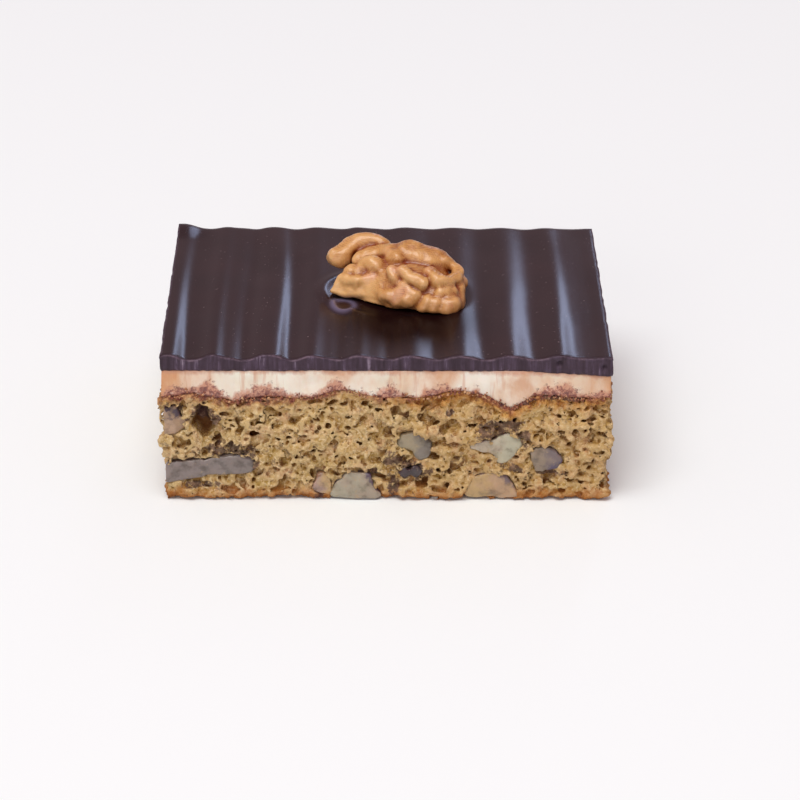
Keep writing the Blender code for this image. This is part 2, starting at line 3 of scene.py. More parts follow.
import bpy
import numpy as np
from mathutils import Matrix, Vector


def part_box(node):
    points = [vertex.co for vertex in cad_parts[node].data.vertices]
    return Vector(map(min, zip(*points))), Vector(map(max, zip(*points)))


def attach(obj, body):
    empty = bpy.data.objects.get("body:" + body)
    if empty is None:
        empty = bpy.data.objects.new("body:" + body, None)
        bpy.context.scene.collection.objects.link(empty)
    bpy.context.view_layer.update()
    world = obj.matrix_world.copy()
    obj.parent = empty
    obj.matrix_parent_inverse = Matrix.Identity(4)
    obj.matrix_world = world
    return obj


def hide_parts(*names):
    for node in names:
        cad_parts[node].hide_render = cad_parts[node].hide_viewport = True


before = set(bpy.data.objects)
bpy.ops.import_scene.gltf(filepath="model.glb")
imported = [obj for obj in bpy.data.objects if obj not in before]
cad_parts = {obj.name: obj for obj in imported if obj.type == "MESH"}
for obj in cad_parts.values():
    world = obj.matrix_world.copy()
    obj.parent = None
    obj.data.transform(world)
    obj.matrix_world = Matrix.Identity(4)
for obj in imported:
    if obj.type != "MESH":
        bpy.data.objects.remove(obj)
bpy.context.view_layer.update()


# ---- Walnut pieces baked into the sponge ----
# Broken kernels were stirred into the batter, and the knife cut them flush with the sides.
# Each shows pale flesh inside a thin dark skin, and tapers away into the sponge.

# Pieces are drawn in mm and the scene is in metres.
MM = 0.001
WIDTH = 95.0
DEPTH = 70.0
FACE_LENGTHS = {"front": WIDTH, "right": DEPTH, "back": WIDTH, "left": DEPTH}
# Pieces stay this far inside the slice's corners.
CORNER_ROUND = 0.25
PIECE_REACH = 4.4
PIECE_RIM = 80
# Rings of a piece from the middle of its cut face to its end: (size, depth inwards, skin).
PIECE_RINGS = ((0.08, -0.12, 0.0), (0.2, -0.12, 0.0), (0.32, -0.12, 0.0), (0.44, -0.1, 0.0),
               (0.56, -0.08, 0.0), (0.67, -0.04, 0.0), (0.78, 0.0, 0.0), (0.87, 0.06, 0.0),
               (0.94, 0.16, 0.0), (0.985, 0.3, 0.4), (1.01, 0.6, 0.9), (1.0, 1.4, 1.0),
               (0.9, 2.6, 1.0), (0.7, 3.7, 1.0), (0.4, PIECE_REACH, 1.0))

# Outline of each piece in the front face: (along, height) in mm.
FRONT_PIECES = {
    "walnut_piece_01": ((-47.8, 4.0), (-43.4, 4.4), (-38.0, 5.5), (-34.0, 5.9), (-29.4, 6.3),
                        (-28.4, 7.0), (-28.3, 9.6), (-29.2, 10.4), (-32.0, 10.5), (-36.4, 10.0),
                        (-42.0, 9.2), (-46.0, 8.6), (-47.8, 7.4)),
    "walnut_piece_02": ((-48.2, 16.4), (-45.4, 15.6), (-42.9, 17.3), (-41.8, 19.3), (-43.6, 19.8),
                        (-45.0, 21.9), (-48.2, 21.4)),
    "walnut_piece_03": ((-11.6, 0.3), (-11.2, 2.8), (-9.6, 5.0), (-7.6, 6.0), (-4.6, 6.1),
                        (-3.0, 5.2), (-2.6, 3.0), (-1.4, 0.3)),
    "walnut_piece_04": ((-16.2, 2.6), (-15.2, 4.4), (-14.6, 6.1), (-12.2, 5.3), (-11.9, 3.0),
                        (-12.2, 1.3), (-14.6, 1.5)),
    "walnut_piece_05": ((2.5, 12.4), (2.9, 14.8), (5.0, 15.7), (8.0, 15.4), (9.6, 13.4),
                        (9.7, 11.0), (8.2, 9.5), (6.4, 9.7), (5.2, 11.6)),
    "walnut_piece_06": ((2.8, 6.3), (3.7, 7.7), (4.9, 7.2), (6.2, 8.2), (7.8, 6.7), (6.6, 5.1),
                        (5.2, 5.7), (3.8, 5.0)),
    "walnut_piece_07": ((17.5, 12.6), (20.0, 14.1), (22.8, 14.4), (25.6, 15.8), (28.0, 15.0),
                        (29.1, 13.2), (27.8, 11.0), (25.2, 8.8), (23.6, 9.0), (22.6, 10.8),
                        (20.4, 11.3)),
    "walnut_piece_08": ((31.0, 10.2), (31.6, 12.2), (33.4, 12.8), (36.0, 11.6), (37.8, 9.6),
                        (36.6, 7.8), (34.2, 6.7), (32.2, 6.9)),
    "walnut_piece_09": ((17.0, 2.0), (18.4, 4.8), (21.4, 6.0), (25.2, 6.0), (26.8, 4.2),
                        (28.2, 1.8), (28.6, 0.3), (22.6, 0.3), (17.6, 0.4)),
}
# Flesh at the left and at the right of each piece, skin colour, the side that the skin is on
# (degrees, 0 right and 90 up) and how far it reaches over the cut, in mm.
FRONT_LOOKS = {
    "walnut_piece_01": ((140, 126, 120), (134, 122, 116), (66, 46, 54), 75.0, 0.9),
    "walnut_piece_02": ((192, 160, 132), (166, 134, 104), (72, 54, 64), 80.0, 3.0),
    "walnut_piece_03": ((170, 160, 138), (166, 150, 130), (86, 68, 82), 40.0, 1.3),
    "walnut_piece_04": ((176, 146, 132), (196, 164, 116), (136, 96, 66), 150.0, 0.8),
    "walnut_piece_05": ((160, 146, 118), (132, 122, 110), (110, 96, 82), -60.0, 0.7),
    "walnut_piece_06": ((66, 48, 52), (66, 52, 56), (44, 30, 34), -80.0, 1.2),
    "walnut_piece_07": ((190, 174, 150), (186, 180, 154), (92, 64, 58), 110.0, 0.8),
    "walnut_piece_08": ((150, 132, 112), (122, 106, 104), (74, 62, 92), -55.0, 1.5),
    "walnut_piece_09": ((190, 158, 108), (186, 152, 118), (118, 98, 98), 55.0, 1.6),
}
# The same for the pieces in the other sides, taken in turn.
HIDDEN_LOOKS = (
    ((172, 156, 134), (158, 142, 124), (78, 60, 70), 60.0, 1.0),
    ((146, 132, 122), (136, 122, 114), (66, 46, 54), 200.0, 1.2),
    ((188, 156, 112), (192, 164, 136), (104, 82, 76), 110.0, 1.4),
    ((180, 168, 144), (172, 160, 136), (92, 64, 58), -40.0, 0.9),
)


def light_value(colour):
    """A colour as it looks, 0 to 255, as the light values that a shader takes."""
    parts = [channel / 255.0 for channel in colour]
    return tuple(part / 12.92 if part <= 0.04045 else ((part + 0.055) / 1.055) ** 2.4 for part in parts)


def lattice(points, size, seed):
    """Smooth random values from -1 to 1 at (n, 3) points, varying over about `size`."""
    table = np.random.default_rng(seed).uniform(-1.0, 1.0, (32, 32, 32)).astype(np.float32)
    place = np.asarray(points, np.float32) / np.asarray(size, np.float32) + 1000.0
    corner = np.floor(place).astype(np.int64)
    share = place - corner
    share = share * share * (3.0 - 2.0 * share)
    total = np.zeros(len(place), np.float32)
    for step in np.ndindex(2, 2, 2):
        weight = 1.0
        for axis in range(3):
            weight = weight * (share[:, axis] if step[axis] else 1.0 - share[:, axis])
        total += weight * table[tuple((corner[:, axis] + step[axis]) % 32 for axis in range(3))]
    return total


def closed_curve(corners, count):
    """`count` points evenly spread on the smooth closed curve through an outline's corners."""
    corners = np.asarray(corners, float)
    before, after, beyond = (np.roll(corners, shift, axis=0) for shift in (1, -1, -2))
    t = np.linspace(0.0, 1.0, 16, endpoint=False)[:, None, None]
    curve = 0.5 * (2.0 * corners + t * (after - before)
                   + t**2 * (2.0 * before - 5.0 * corners + 4.0 * after - beyond)
                   + t**3 * (3.0 * corners - before - 3.0 * after + beyond))
    curve = curve.transpose(1, 0, 2).reshape(-1, 2)
    closed = np.vstack((curve, curve[:1]))
    run = np.concatenate(([0.0], np.cumsum(np.linalg.norm(np.diff(closed, axis=0), axis=1))))
    wanted = np.linspace(0.0, run[-1], count, endpoint=False)
    return np.stack([np.interp(wanted, run, closed[:, axis]) for axis in (0, 1)], axis=1)


def seeded_outline(centre, size, seed):
    """A broken kernel's outline round a centre: a squarish oval with uneven corners."""
    draw = np.random.default_rng(seed)
    angles = 2.0 * math.pi * (np.arange(8) + draw.uniform(-0.25, 0.25, 8)) / 8
    reach = draw.uniform(0.86, 1.04, 8)
    ways = np.stack((np.cos(angles), np.sin(angles)), axis=1)
    return centre + np.sign(ways) * np.abs(ways) ** 0.75 * reach[:, None] * size / 2


def on_face(face, x, y):
    """How far along a cut face places lie, and how far in from it, in mm."""
    return {"front": (x, y + DEPTH / 2), "right": (y, WIDTH / 2 - x),
            "back": (-x, DEPTH / 2 - y), "left": (-y, x + WIDTH / 2)}[face]


def face_to_slice(face, along, inward, height):
    """Points given along, into and up a cut face, as points of the slice in mm."""
    turn, distance = {"front": (0.0, DEPTH / 2), "right": (math.pi / 2, WIDTH / 2),
                      "back": (math.pi, DEPTH / 2), "left": (-math.pi / 2, WIDTH / 2)}[face]
    out = distance - inward
    return np.stack((math.cos(turn) * along + math.sin(turn) * out,
                     math.sin(turn) * along - math.cos(turn) * out, height), axis=-1)


def face_of(node):
    """Which cut face a walnut piece lies in, with its outline's middle and size there in mm."""
    low, high = (np.array(corner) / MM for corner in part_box(node))
    middle, size = (low + high) / 2, high - low
    for face in ("front", "back", "right", "left"):
        if min(on_face(face, *low[:2])[1], on_face(face, *high[:2])[1]) < 0.6:
            break
    along = on_face(face, *middle[:2])[0]
    length = size[0] if FACE_LENGTHS[face] == WIDTH else size[1]
    return face, np.array((along, middle[2])), np.array((length, size[2]))


def mesh_object(name, points, faces, marks):
    """A smooth-shaded object from points in mm and faces, with named values on its points."""
    sizes = np.array([len(face) for face in faces], np.int32)
    mesh = bpy.data.meshes.new(name)
    mesh.vertices.add(len(points))
    mesh.vertices.foreach_set("co", (np.asarray(points, float) * MM).astype(np.float32).ravel())
    mesh.loops.add(int(sizes.sum()))
    mesh.loops.foreach_set("vertex_index", np.concatenate(faces).astype(np.int32))
    mesh.polygons.add(len(faces))
    mesh.polygons.foreach_set("loop_start", (np.cumsum(sizes) - sizes).astype(np.int32))
    mesh.update(calc_edges=True)
    mesh.validate()
    mesh.shade_smooth()
    for mark, values in marks.items():
        layer = mesh.attributes.new(mark, "FLOAT", "POINT")
        layer.data.foreach_set("value", np.asarray(values, np.float32))
    made = bpy.data.objects.new(name, mesh)
    bpy.context.scene.collection.objects.link(made)
    return made


def loft_faces(rings, count, first=0):
    """Quads between rings of `count` points, and a cap below; a ring drawn anticlockwise rises."""
    faces = [tuple(reversed(range(first, first + count)))]
    for low in range(first, first + (rings - 1) * count, count):
        high = low + count
        faces += [(low + i, low + (i + 1) % count, high + (i + 1) % count, high + i) for i in range(count)]
    return faces


def closed_loft(rings, count):
    """The same, with a cap above too."""
    return loft_faces(rings, count) + [tuple(range((rings - 1) * count, rings * count))]


class Finish:
    """A material: a body colour with other colours laid over it, one after the other."""

    def __init__(self, name, roughness, coat=0.0):
        self.material = bpy.data.materials.new(name)
        self.material.use_nodes = True
        self.tree = self.material.node_tree
        self.shader = self.tree.nodes["Principled BSDF"]
        self.shader.inputs["Roughness"].default_value = roughness
        self.shader.inputs["Coat Weight"].default_value = coat

    def feed(self, socket, source):
        """Give a socket a value, a colour as it looks, or what another node puts out."""
        if isinstance(source, float):
            socket.default_value = source
        elif isinstance(source, tuple):
            socket.default_value = (*light_value(source), 1.0)
        else:
            self.tree.links.new(source, socket)

    def noise(self, scale, detail=3.0, roughness=0.55, stretch=(1.0, 1.0, 1.0)):
        """A noise over the piece itself, its grain set by `scale` per metre."""
        place = self.tree.nodes.new("ShaderNodeTexCoord")
        turn = self.tree.nodes.new("ShaderNodeMapping")
        turn.inputs["Scale"].default_value = stretch
        grain = self.tree.nodes.new("ShaderNodeTexNoise")
        for name, value in (("Scale", scale), ("Detail", detail), ("Roughness", roughness)):
            grain.inputs[name].default_value = value
        self.feed(turn.inputs["Vector"], place.outputs["Object"])
        self.feed(grain.inputs["Vector"], turn.outputs["Vector"])
        return grain.outputs["Fac"]

    def mark(self, name):
        """A value stored on the mesh's points."""
        mark = self.tree.nodes.new("ShaderNodeAttribute")
        mark.attribute_name = name
        return mark.outputs["Fac"]

    def steps(self, source, low, high, to_low=0.0, to_high=1.0):
        """Values of a source from low to high, spread from to_low to to_high and held there."""
        spread = self.tree.nodes.new("ShaderNodeMapRange")
        for name, value in (("From Min", low), ("From Max", high), ("To Min", to_low), ("To Max", to_high)):
            spread.inputs[name].default_value = value
        self.feed(spread.inputs["Value"], source)
        return spread.outputs["Result"]

    def join(self, operation, first, second):
        """Two values added or multiplied."""
        joiner = self.tree.nodes.new("ShaderNodeMath")
        joiner.operation = operation
        self.feed(joiner.inputs[0], first)
        self.feed(joiner.inputs[1], second)
        return joiner.outputs[0]

    def ragged(self, name, reach, *grain):
        """A mark whose edge wanders by up to `reach` with a noise."""
        return self.join("ADD", self.mark(name), self.steps(self.noise(*grain), 0.3, 0.7, -reach, reach))

    def ramp(self, source, *stops):
        """Colours that follow a source: stops are (place, colour as it looks)."""
        ramp = self.tree.nodes.new("ShaderNodeValToRGB")
        band = ramp.color_ramp
        while len(band.elements) < len(stops):
            band.elements.new(0.5)
        for element, (place, colour) in zip(band.elements, stops):
            element.position = place
            element.color = (*light_value(colour), 1.0)
        self.feed(ramp.inputs["Fac"], source)
        return ramp.outputs["Color"]

    def mix(self, share, first, second, blend="MIX"):
        """Two colours mixed by a share."""
        mixer = self.tree.nodes.new("ShaderNodeMix")
        mixer.data_type = "RGBA"
        mixer.blend_type = blend
        for socket, source in ((0, share), (6, first), (7, second)):
            self.feed(mixer.inputs[socket], source)
        return mixer.outputs[2]

    def lay(self, colour, source, low=0.0, high=1.0, most=1.0):
        """Lay a colour over the body as a source goes from low to high, `most` at its strongest."""
        self.body = self.mix(self.steps(source, low, high, 0.0, most), self.body, colour)

    def soften(self, weight, *reach):
        """Let light into the surface, to a depth in mm for red, green and blue."""
        self.shader.inputs["Subsurface Weight"].default_value = weight
        self.shader.inputs["Subsurface Radius"].default_value = [depth * MM for depth in reach]
        self.shader.inputs["Subsurface Scale"].default_value = 1.0

    def done(self, relief, height_mm):
        """Add fine relief of a given height and return the material."""
        bump = self.tree.nodes.new("ShaderNodeBump")
        bump.inputs["Distance"].default_value = height_mm * MM
        self.feed(bump.inputs["Height"], relief)
        self.feed(self.shader.inputs["Normal"], bump.outputs["Normal"])
        self.feed(self.shader.inputs["Base Color"], self.body)
        return self.material


def cut_kernel(name, look):
    """Cut walnut: waxy pale flesh, greyer in patches, under a thin purple-brown skin."""
    left_flesh, right_flesh, skin = look[:3]
    kernel = Finish(name, 0.34, coat=0.35)
    kernel.body = left_flesh
    kernel.lay(right_flesh, kernel.ragged("across", 0.3, 300.0), 0.35, 0.65)
    clouds = kernel.steps(kernel.noise(420.0, 4.0), 0.3, 0.7)
    shade = kernel.ramp(clouds, (0.0, (180, 176, 168)), (0.45, (240, 240, 240)), (1.0, (255, 255, 255)))
    kernel.body = kernel.mix(1.0, kernel.body, shade, "MULTIPLY")
    stuck_crumb = kernel.noise(850.0)
    kernel.lay((180, 152, 108), stuck_crumb, 0.64, 0.68, 0.4)
    kernel.lay(skin, kernel.ragged("skin", 0.5, 800.0, 4.0), 0.4, 0.9)
    kernel.soften(0.3, 0.9, 0.6, 0.4)
    return kernel.done(kernel.noise(450.0, 6.0, 0.6), 0.35)


piece_nodes = sorted(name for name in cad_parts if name.startswith("walnut_piece"))
sockets = []
for number, node in enumerate(piece_nodes):
    face, centre, size = face_of(node)
    corners = FRONT_PIECES.get(node)
    if corners is None:
        corners = seeded_outline(centre, size, number)
    look = FRONT_LOOKS.get(node, HIDDEN_LOOKS[number % len(HIDDEN_LOOKS)])
    side, reach = math.radians(look[3]), look[4]
    outline = closed_curve(corners, PIECE_RIM)
    middle = outline.mean(axis=0)
    spots = np.column_stack((outline, np.full(PIECE_RIM, 3.0 * number)))
    wobble = 0.3 * lattice(spots, 1.6, 5) + 0.22 * lattice(spots, 0.7, 6)
    away = (outline - middle) / np.linalg.norm(outline - middle, axis=1)[:, None]
    outline = outline + away * wobble[:, None]
    outline[:, 1] = np.maximum(outline[:, 1], 0.1)
    sockets.append((face, outline))
    skin_way = np.array([math.cos(side), math.sin(side)])
    skin_end = ((outline - middle) @ skin_way).max()
    broken = np.clip(0.65 + 0.8 * lattice(spots, 2.0, 9), 0.0, 1.0)
    points, skin, across = [], [], []
    for share, inward, mark in PIECE_RINGS:
        ring = middle + (outline - middle) * share
        spots = np.column_stack((ring, np.full(PIECE_RIM, 5.0 * number)))
        relief = 0.35 * lattice(spots, 2.6, 8) + 0.14 * lattice(spots, 1.2, 10)
        beyond = np.abs(ring[:, 0]) - FACE_LENGTHS[face] / 2 + CORNER_ROUND
        along = ring[:, 0] - np.sign(ring[:, 0]) * np.maximum(beyond, 0.0)
        points.append(face_to_slice(face, along, inward + relief, ring[:, 1]))
        from_end = skin_end - (ring - middle) @ skin_way
        round_rim = mark * (broken if mark < 1.0 else 1.0)
        covered = np.maximum(round_rim, np.clip(1.3 - from_end / reach, 0.0, 1.0))
        skin.append(covered * np.clip(-beyond / 0.3, 0.0, 1.0))
        across.append((ring[:, 0] - outline[:, 0].min()) / np.ptp(outline[:, 0]))
    faces = closed_loft(len(PIECE_RINGS), PIECE_RIM)
    # The rings run inwards, so an outline drawn anticlockwise has its faces turned over.
    if np.sum(outline[:, 0] * (np.roll(outline[:, 1], -1) - np.roll(outline[:, 1], 1))) > 0.0:
        faces = [quad[::-1] for quad in faces]
    piece = mesh_object("kernel_%02d" % (number + 1), np.vstack(points), faces,
                        {"skin": np.concatenate(skin), "across": np.concatenate(across)})
    piece.data.materials.append(cut_kernel("cut_kernel_%02d" % (number + 1), look))
    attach(piece, "root")
    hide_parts(node)


# ---- Sponge ----
# Walnut sponge from a tray bake: open, torn crumb with browned crusts below and under the
# cream. It is drawn as a solid block from which the knife's relief and the pores are taken.

GRAIN = 0.3
SPONGE_TOP = 24.2
# Swellings of the sponge's top by the front: (along, height, half width).
SPONGE_RISES = ((-41.0, 0.9, 3.5), (-32.0, -0.7, 3.0), (-9.0, 1.9, 4.5), (15.5, 1.6, 5.0), (34.5, 0.7, 4.0))
NOTCH_PLACE = 26.4
NOTCH_DEPTH = 2.4
NOTCH_HALF_WIDTH = 4.5
# How far the sides stand out: (height, mm outwards).
SIDE_PROFILE = ((0.0, -0.9), (1.2, 0.5), (4.0, -0.7), (10.0, 0.1), (17.0, 0.7), (22.0, 0.2), (26.0, 0.0))
# The crumb is torn to this depth; deeper in, the block stays plain.
TORN_DEPTH = 3.4
# Pores: (number in each 1000 square mm of cut face, smallest and largest radius, how deep they lie).
PORE_KINDS = ((460, 0.32, 0.6, 0.8), (80, 0.6, 1.0, 1.0), (12, 1.0, 1.6, 1.2))
CAVITY_CORNERS = ((-41.6, 18.0), (-40.4, 21.0), (-39.4, 22.9), (-37.9, 21.8), (-37.4, 19.0), (-36.3, 17.0),
                  (-37.6, 14.9), (-39.2, 14.9), (-40.4, 16.6))
CAVITY_REACH = 3.6
# A turn that keeps the grid of one layer of relief from lining up with another's.
TURNED = np.array(((0.8, -0.36, 0.48), (0.6, 0.48, -0.64), (0.0, 0.8, 0.6)), np.float32)
# Walnut skin rubbed into the crumb by the knife: (along, height, half length, half height, tilt).
FRONT_STAINS = ((-33.5, 11.8, 6.0, 1.7, 4.0), (-29.0, 8.6, 1.8, 2.4, 0.0), (-40.0, 3.3, 4.5, 0.8, 5.0),
                (-46.0, 21.4, 3.2, 1.6, -10.0), (-38.6, 20.0, 2.4, 3.2, 70.0), (23.4, 16.6, 5.6, 2.1, 14.0),
                (29.6, 14.6, 1.3, 2.6, 0.0), (1.4, 9.8, 2.6, 2.2, 30.0), (1.4, 4.0, 1.3, 3.6, 0.0),
                (5.4, 6.6, 4.4, 2.3, -10.0), (-2.2, 6.4, 1.6, 1.2, 0.0), (26.8, 7.6, 3.4, 0.9, -20.0),
                (34.8, 6.2, 3.4, 0.7, -6.0), (-14.4, 2.0, 1.2, 2.6, 0.0), (13.5, 20.8, 1.2, 0.9, 0.0),
                (37.0, 24.2, 5.0, 0.8, -2.0), (30.4, 23.6, 1.8, 0.5, 20.0), (-28.0, 24.0, 5.0, 0.4, 0.0))
# The middles of the top and base are plain and out of sight, so each is one flat face.
PLAIN_INSET = 5.2
# The torn rim round them comes in five parts, none too heavy: (left, right, near, far).
SLABS = ((-99.0, 0.0, -99.0, -17.0), (0.0, 99.0, -99.0, -17.0), (-99.0, 99.0, -17.0, 17.0),
         (-99.0, 0.0, 17.0, 99.0), (0.0, 99.0, 17.0, 99.0))


def steps_of(low, high, step):
    """Evenly spaced grid lines from low to high."""
    return np.arange(low, high + step, step, dtype=np.float32)


def on_axis(line, axis):
    """One value for each grid line, shaped to spread over the grid."""
    return line.reshape([-1 if i == axis else 1 for i in range(3)])


def lattice_grid(lines, size, seed):
    """The same smooth random values on a whole grid, worked out one direction at a time."""
    values = np.random.default_rng(seed).uniform(-1.0, 1.0, (97, 97, 97)).astype(np.float32)
    for axis, line in enumerate(lines):
        place = (line - line[0]) / size[axis]
        corner = np.floor(place).astype(np.int64)
        share = place - corner
        share = on_axis(share * share * (3.0 - 2.0 * share), axis)
        values = (np.take(values, corner % 96, axis=axis) * (1.0 - share)
                  + np.take(values, corner % 96 + 1, axis=axis) * share)
    return values


def smooth_step(value):
    """0 below 0, 1 above 1, an even curve between."""
    held = np.clip(value, 0.0, 1.0)
    return held * held * (3.0 - 2.0 * held)


def sponge_top(x, y):
    """Height of the sponge under the cream."""
    by_front = np.exp(-(((y + DEPTH / 2) / 12.0) ** 2))
    rises = sum(high * np.exp(-(((x - place) / wide) ** 2)) for place, high, wide in SPONGE_RISES)
    notch = -NOTCH_DEPTH * np.maximum(0.0, 1.0 - np.abs(x - NOTCH_PLACE) / NOTCH_HALF_WIDTH)
    waves = 0.9 * np.sin(x / 5.3 + y / 9.0) * np.sin(y / 6.1 - x / 17.0)
    return SPONGE_TOP + by_front * (rises + notch) + (1.0 - by_front) * waves


def crumb_relief(spots):
    """How far torn crumb stands out at places in mm, and the depth of its irregular pits."""
    bent = spots + 0.7 * np.stack([lattice(spots, 1.7, 30 + axis) for axis in range(3)], axis=1)
    stand = 0.5 * lattice(spots, (7.0, 7.0, 6.0), 21) + 0.6 * lattice(bent, (2.5, 2.5, 2.0), 22)
    stand += 0.5 * lattice(bent @ TURNED, 1.15, 23) + 0.36 * lattice(spots @ TURNED, 0.6, 24)
    pits = 1.6 * (lattice(bent @ TURNED, 1.9, 25) - 0.27)
    return stand, pits


lines = (steps_of(-WIDTH / 2 - 2.2, WIDTH / 2 + 2.2, GRAIN),
         steps_of(-DEPTH / 2 - 2.2, DEPTH / 2 + 2.2, GRAIN),
         steps_of(-0.8, SPONGE_TOP + 3.6, GRAIN))
grid_x, grid_y, grid_z = (on_axis(line, axis) for axis, line in enumerate(lines))
profile = on_axis(np.interp(lines[2], *zip(*SIDE_PROFILE)).astype(np.float32), 2)
top = sponge_top(grid_x, grid_y).astype(np.float32)
into_side = np.maximum(np.abs(grid_x) - WIDTH / 2 - profile, np.abs(grid_y) - DEPTH / 2 - 0.55 * profile)
into_side = into_side.astype(np.float32)
sunk = smooth_step((-into_side - 3.6) / 1.2)
field = np.maximum(into_side, grid_z - top * (1.0 - sunk) - (SPONGE_TOP - 1.5) * sunk)

band = np.nonzero((np.abs(into_side) < TORN_DEPTH) & (grid_z < top + 1.2))
spots = np.stack([line[chosen] for line, chosen in zip(lines, band)], axis=1)
stand, pits = crumb_relief(spots)
depth_in = -into_side[band]
height = spots[:, 2]
below_top = np.broadcast_to(top, field.shape)[band] - height
stand *= 1.0 - smooth_step((depth_in - 1.8) / 1.4)
pits -= 1.2 * np.maximum(depth_in - 0.9, 0.0)
pits -= 0.9 * smooth_step(1.0 - height / 2.4) + 0.7 * smooth_step(1.0 - below_top / 1.4)
upright = spots * (1.0, 1.0, 0.01)
lifted = 0.9 * np.maximum(lattice(upright, 2.4, 26), 0.0) + 0.5 * np.maximum(lattice(upright, 0.9, 27), 0.0)
lifted *= 1.0 - smooth_step((depth_in - 0.6) / 2.0)
field[band] = np.maximum.reduce((-depth_in - stand, -below_top - 0.3 * stand, pits, lifted - height))
field = np.maximum(field, -grid_z).astype(np.float32)


def grid_window(low, high):
    """The part of the grid that holds a box, as a slice along each axis."""
    return tuple(slice(max(0, int((start - line[0]) / GRAIN)), int((end - line[0]) / GRAIN) + 2)
                 for start, end, line in zip(low, high, lines))


warp = [0.7 * lattice_grid(lines, (1.5, 1.5, 1.3), 30 + axis) for axis in range(3)]
draw = np.random.default_rng(7)
for face, length in FACE_LENGTHS.items():
    for amount, smallest, largest, deepest in PORE_KINDS:
        for _ in range(round(amount * length * SPONGE_TOP / 1000.0)):
            along = draw.uniform(-0.5, 0.5) * length
            height = draw.uniform(0.6, SPONGE_TOP + 0.6)
            inward = draw.uniform(-0.3, 1.0) * deepest
            radius = draw.uniform(smallest, largest)
            flat = draw.uniform(0.6, 1.0)
            if height < 2.6 or height > SPONGE_TOP - 1.2:
                radius *= 0.7
            centre = face_to_slice(face, along, inward, height)
            window = grid_window(centre - radius - 1.0, centre + radius + 1.0)
            dx = grid_x[window[0]] + warp[0][window] - centre[0]
            dy = grid_y[:, window[1]] + warp[1][window] - centre[1]
            dz = (grid_z[:, :, window[2]] + warp[2][window] - centre[2]) / flat
            hollow = radius - np.sqrt(dx * dx + dy * dy + dz * dz)
            field[window] = np.maximum(field[window], hollow)


def distance_to_outline(outline, along, height):
    """Distance from an outline in its face, negative inside it."""
    nearest = np.full(along.shape, 1e6, np.float32)
    inside = np.zeros(along.shape, bool)
    for start, end in zip(outline, np.roll(outline, -1, axis=0)):
        run = end - start
        share = ((along - start[0]) * run[0] + (height - start[1]) * run[1]) / (run @ run)
        share = np.clip(share, 0.0, 1.0)
        gap = np.hypot(along - start[0] - share * run[0], height - start[1] - share * run[1])
        nearest = np.minimum(nearest, gap)
        crosses = (start[1] > height) != (end[1] > height)
        if start[1] != end[1]:
            inside ^= crosses & (along < start[0] + (height - start[1]) / (end[1] - start[1]) * run[0])
    return np.where(inside, -nearest, nearest)


def carve(face, outline, reach, lip_height):
    """Take a socket of an outline's shape out of a cut face, down to a reach, with a torn lip."""
    low, high = outline.min(axis=0) - 2.0, outline.max(axis=0) + 2.0
    ends = np.vstack([face_to_slice(face, np.array((low[0], high[0])), inward, np.array((low[1], high[1])))
                      for inward in (-3.0, reach + 2.0)])
    window = grid_window(ends.min(axis=0), ends.max(axis=0))
    x, y, height = grid_x[window[0]], grid_y[:, window[1]], grid_z[:, :, window[2]]
    along, inward = on_face(face, x, y)
    flat_gap = distance_to_outline(outline, *np.broadcast_arrays(along, height))
    whole = np.broadcast_arrays(x, y, height)
    spots = np.stack([part.ravel() for part in whole], axis=1)
    torn = (lattice(spots, 1.4, 28) - 0.25 + 0.5 * lattice(spots, 0.7, 29)).reshape(whole[0].shape)
    lip = lip_height * torn * np.clip(1.0 - inward / 1.2, 0.0, 1.0)
    taper = np.clip(inward / reach, 0.0, 1.0) ** 2 * 1.2
    hollow = np.minimum(0.1 + lip - flat_gap - taper, reach - inward)
    field[window] = np.maximum(field[window], hollow.astype(np.float32))


for face, outline in sockets:
    carve(face, outline, PIECE_REACH + 0.3, 0.9)
carve("front", closed_curve(CAVITY_CORNERS, 40), CAVITY_REACH, 0.6)


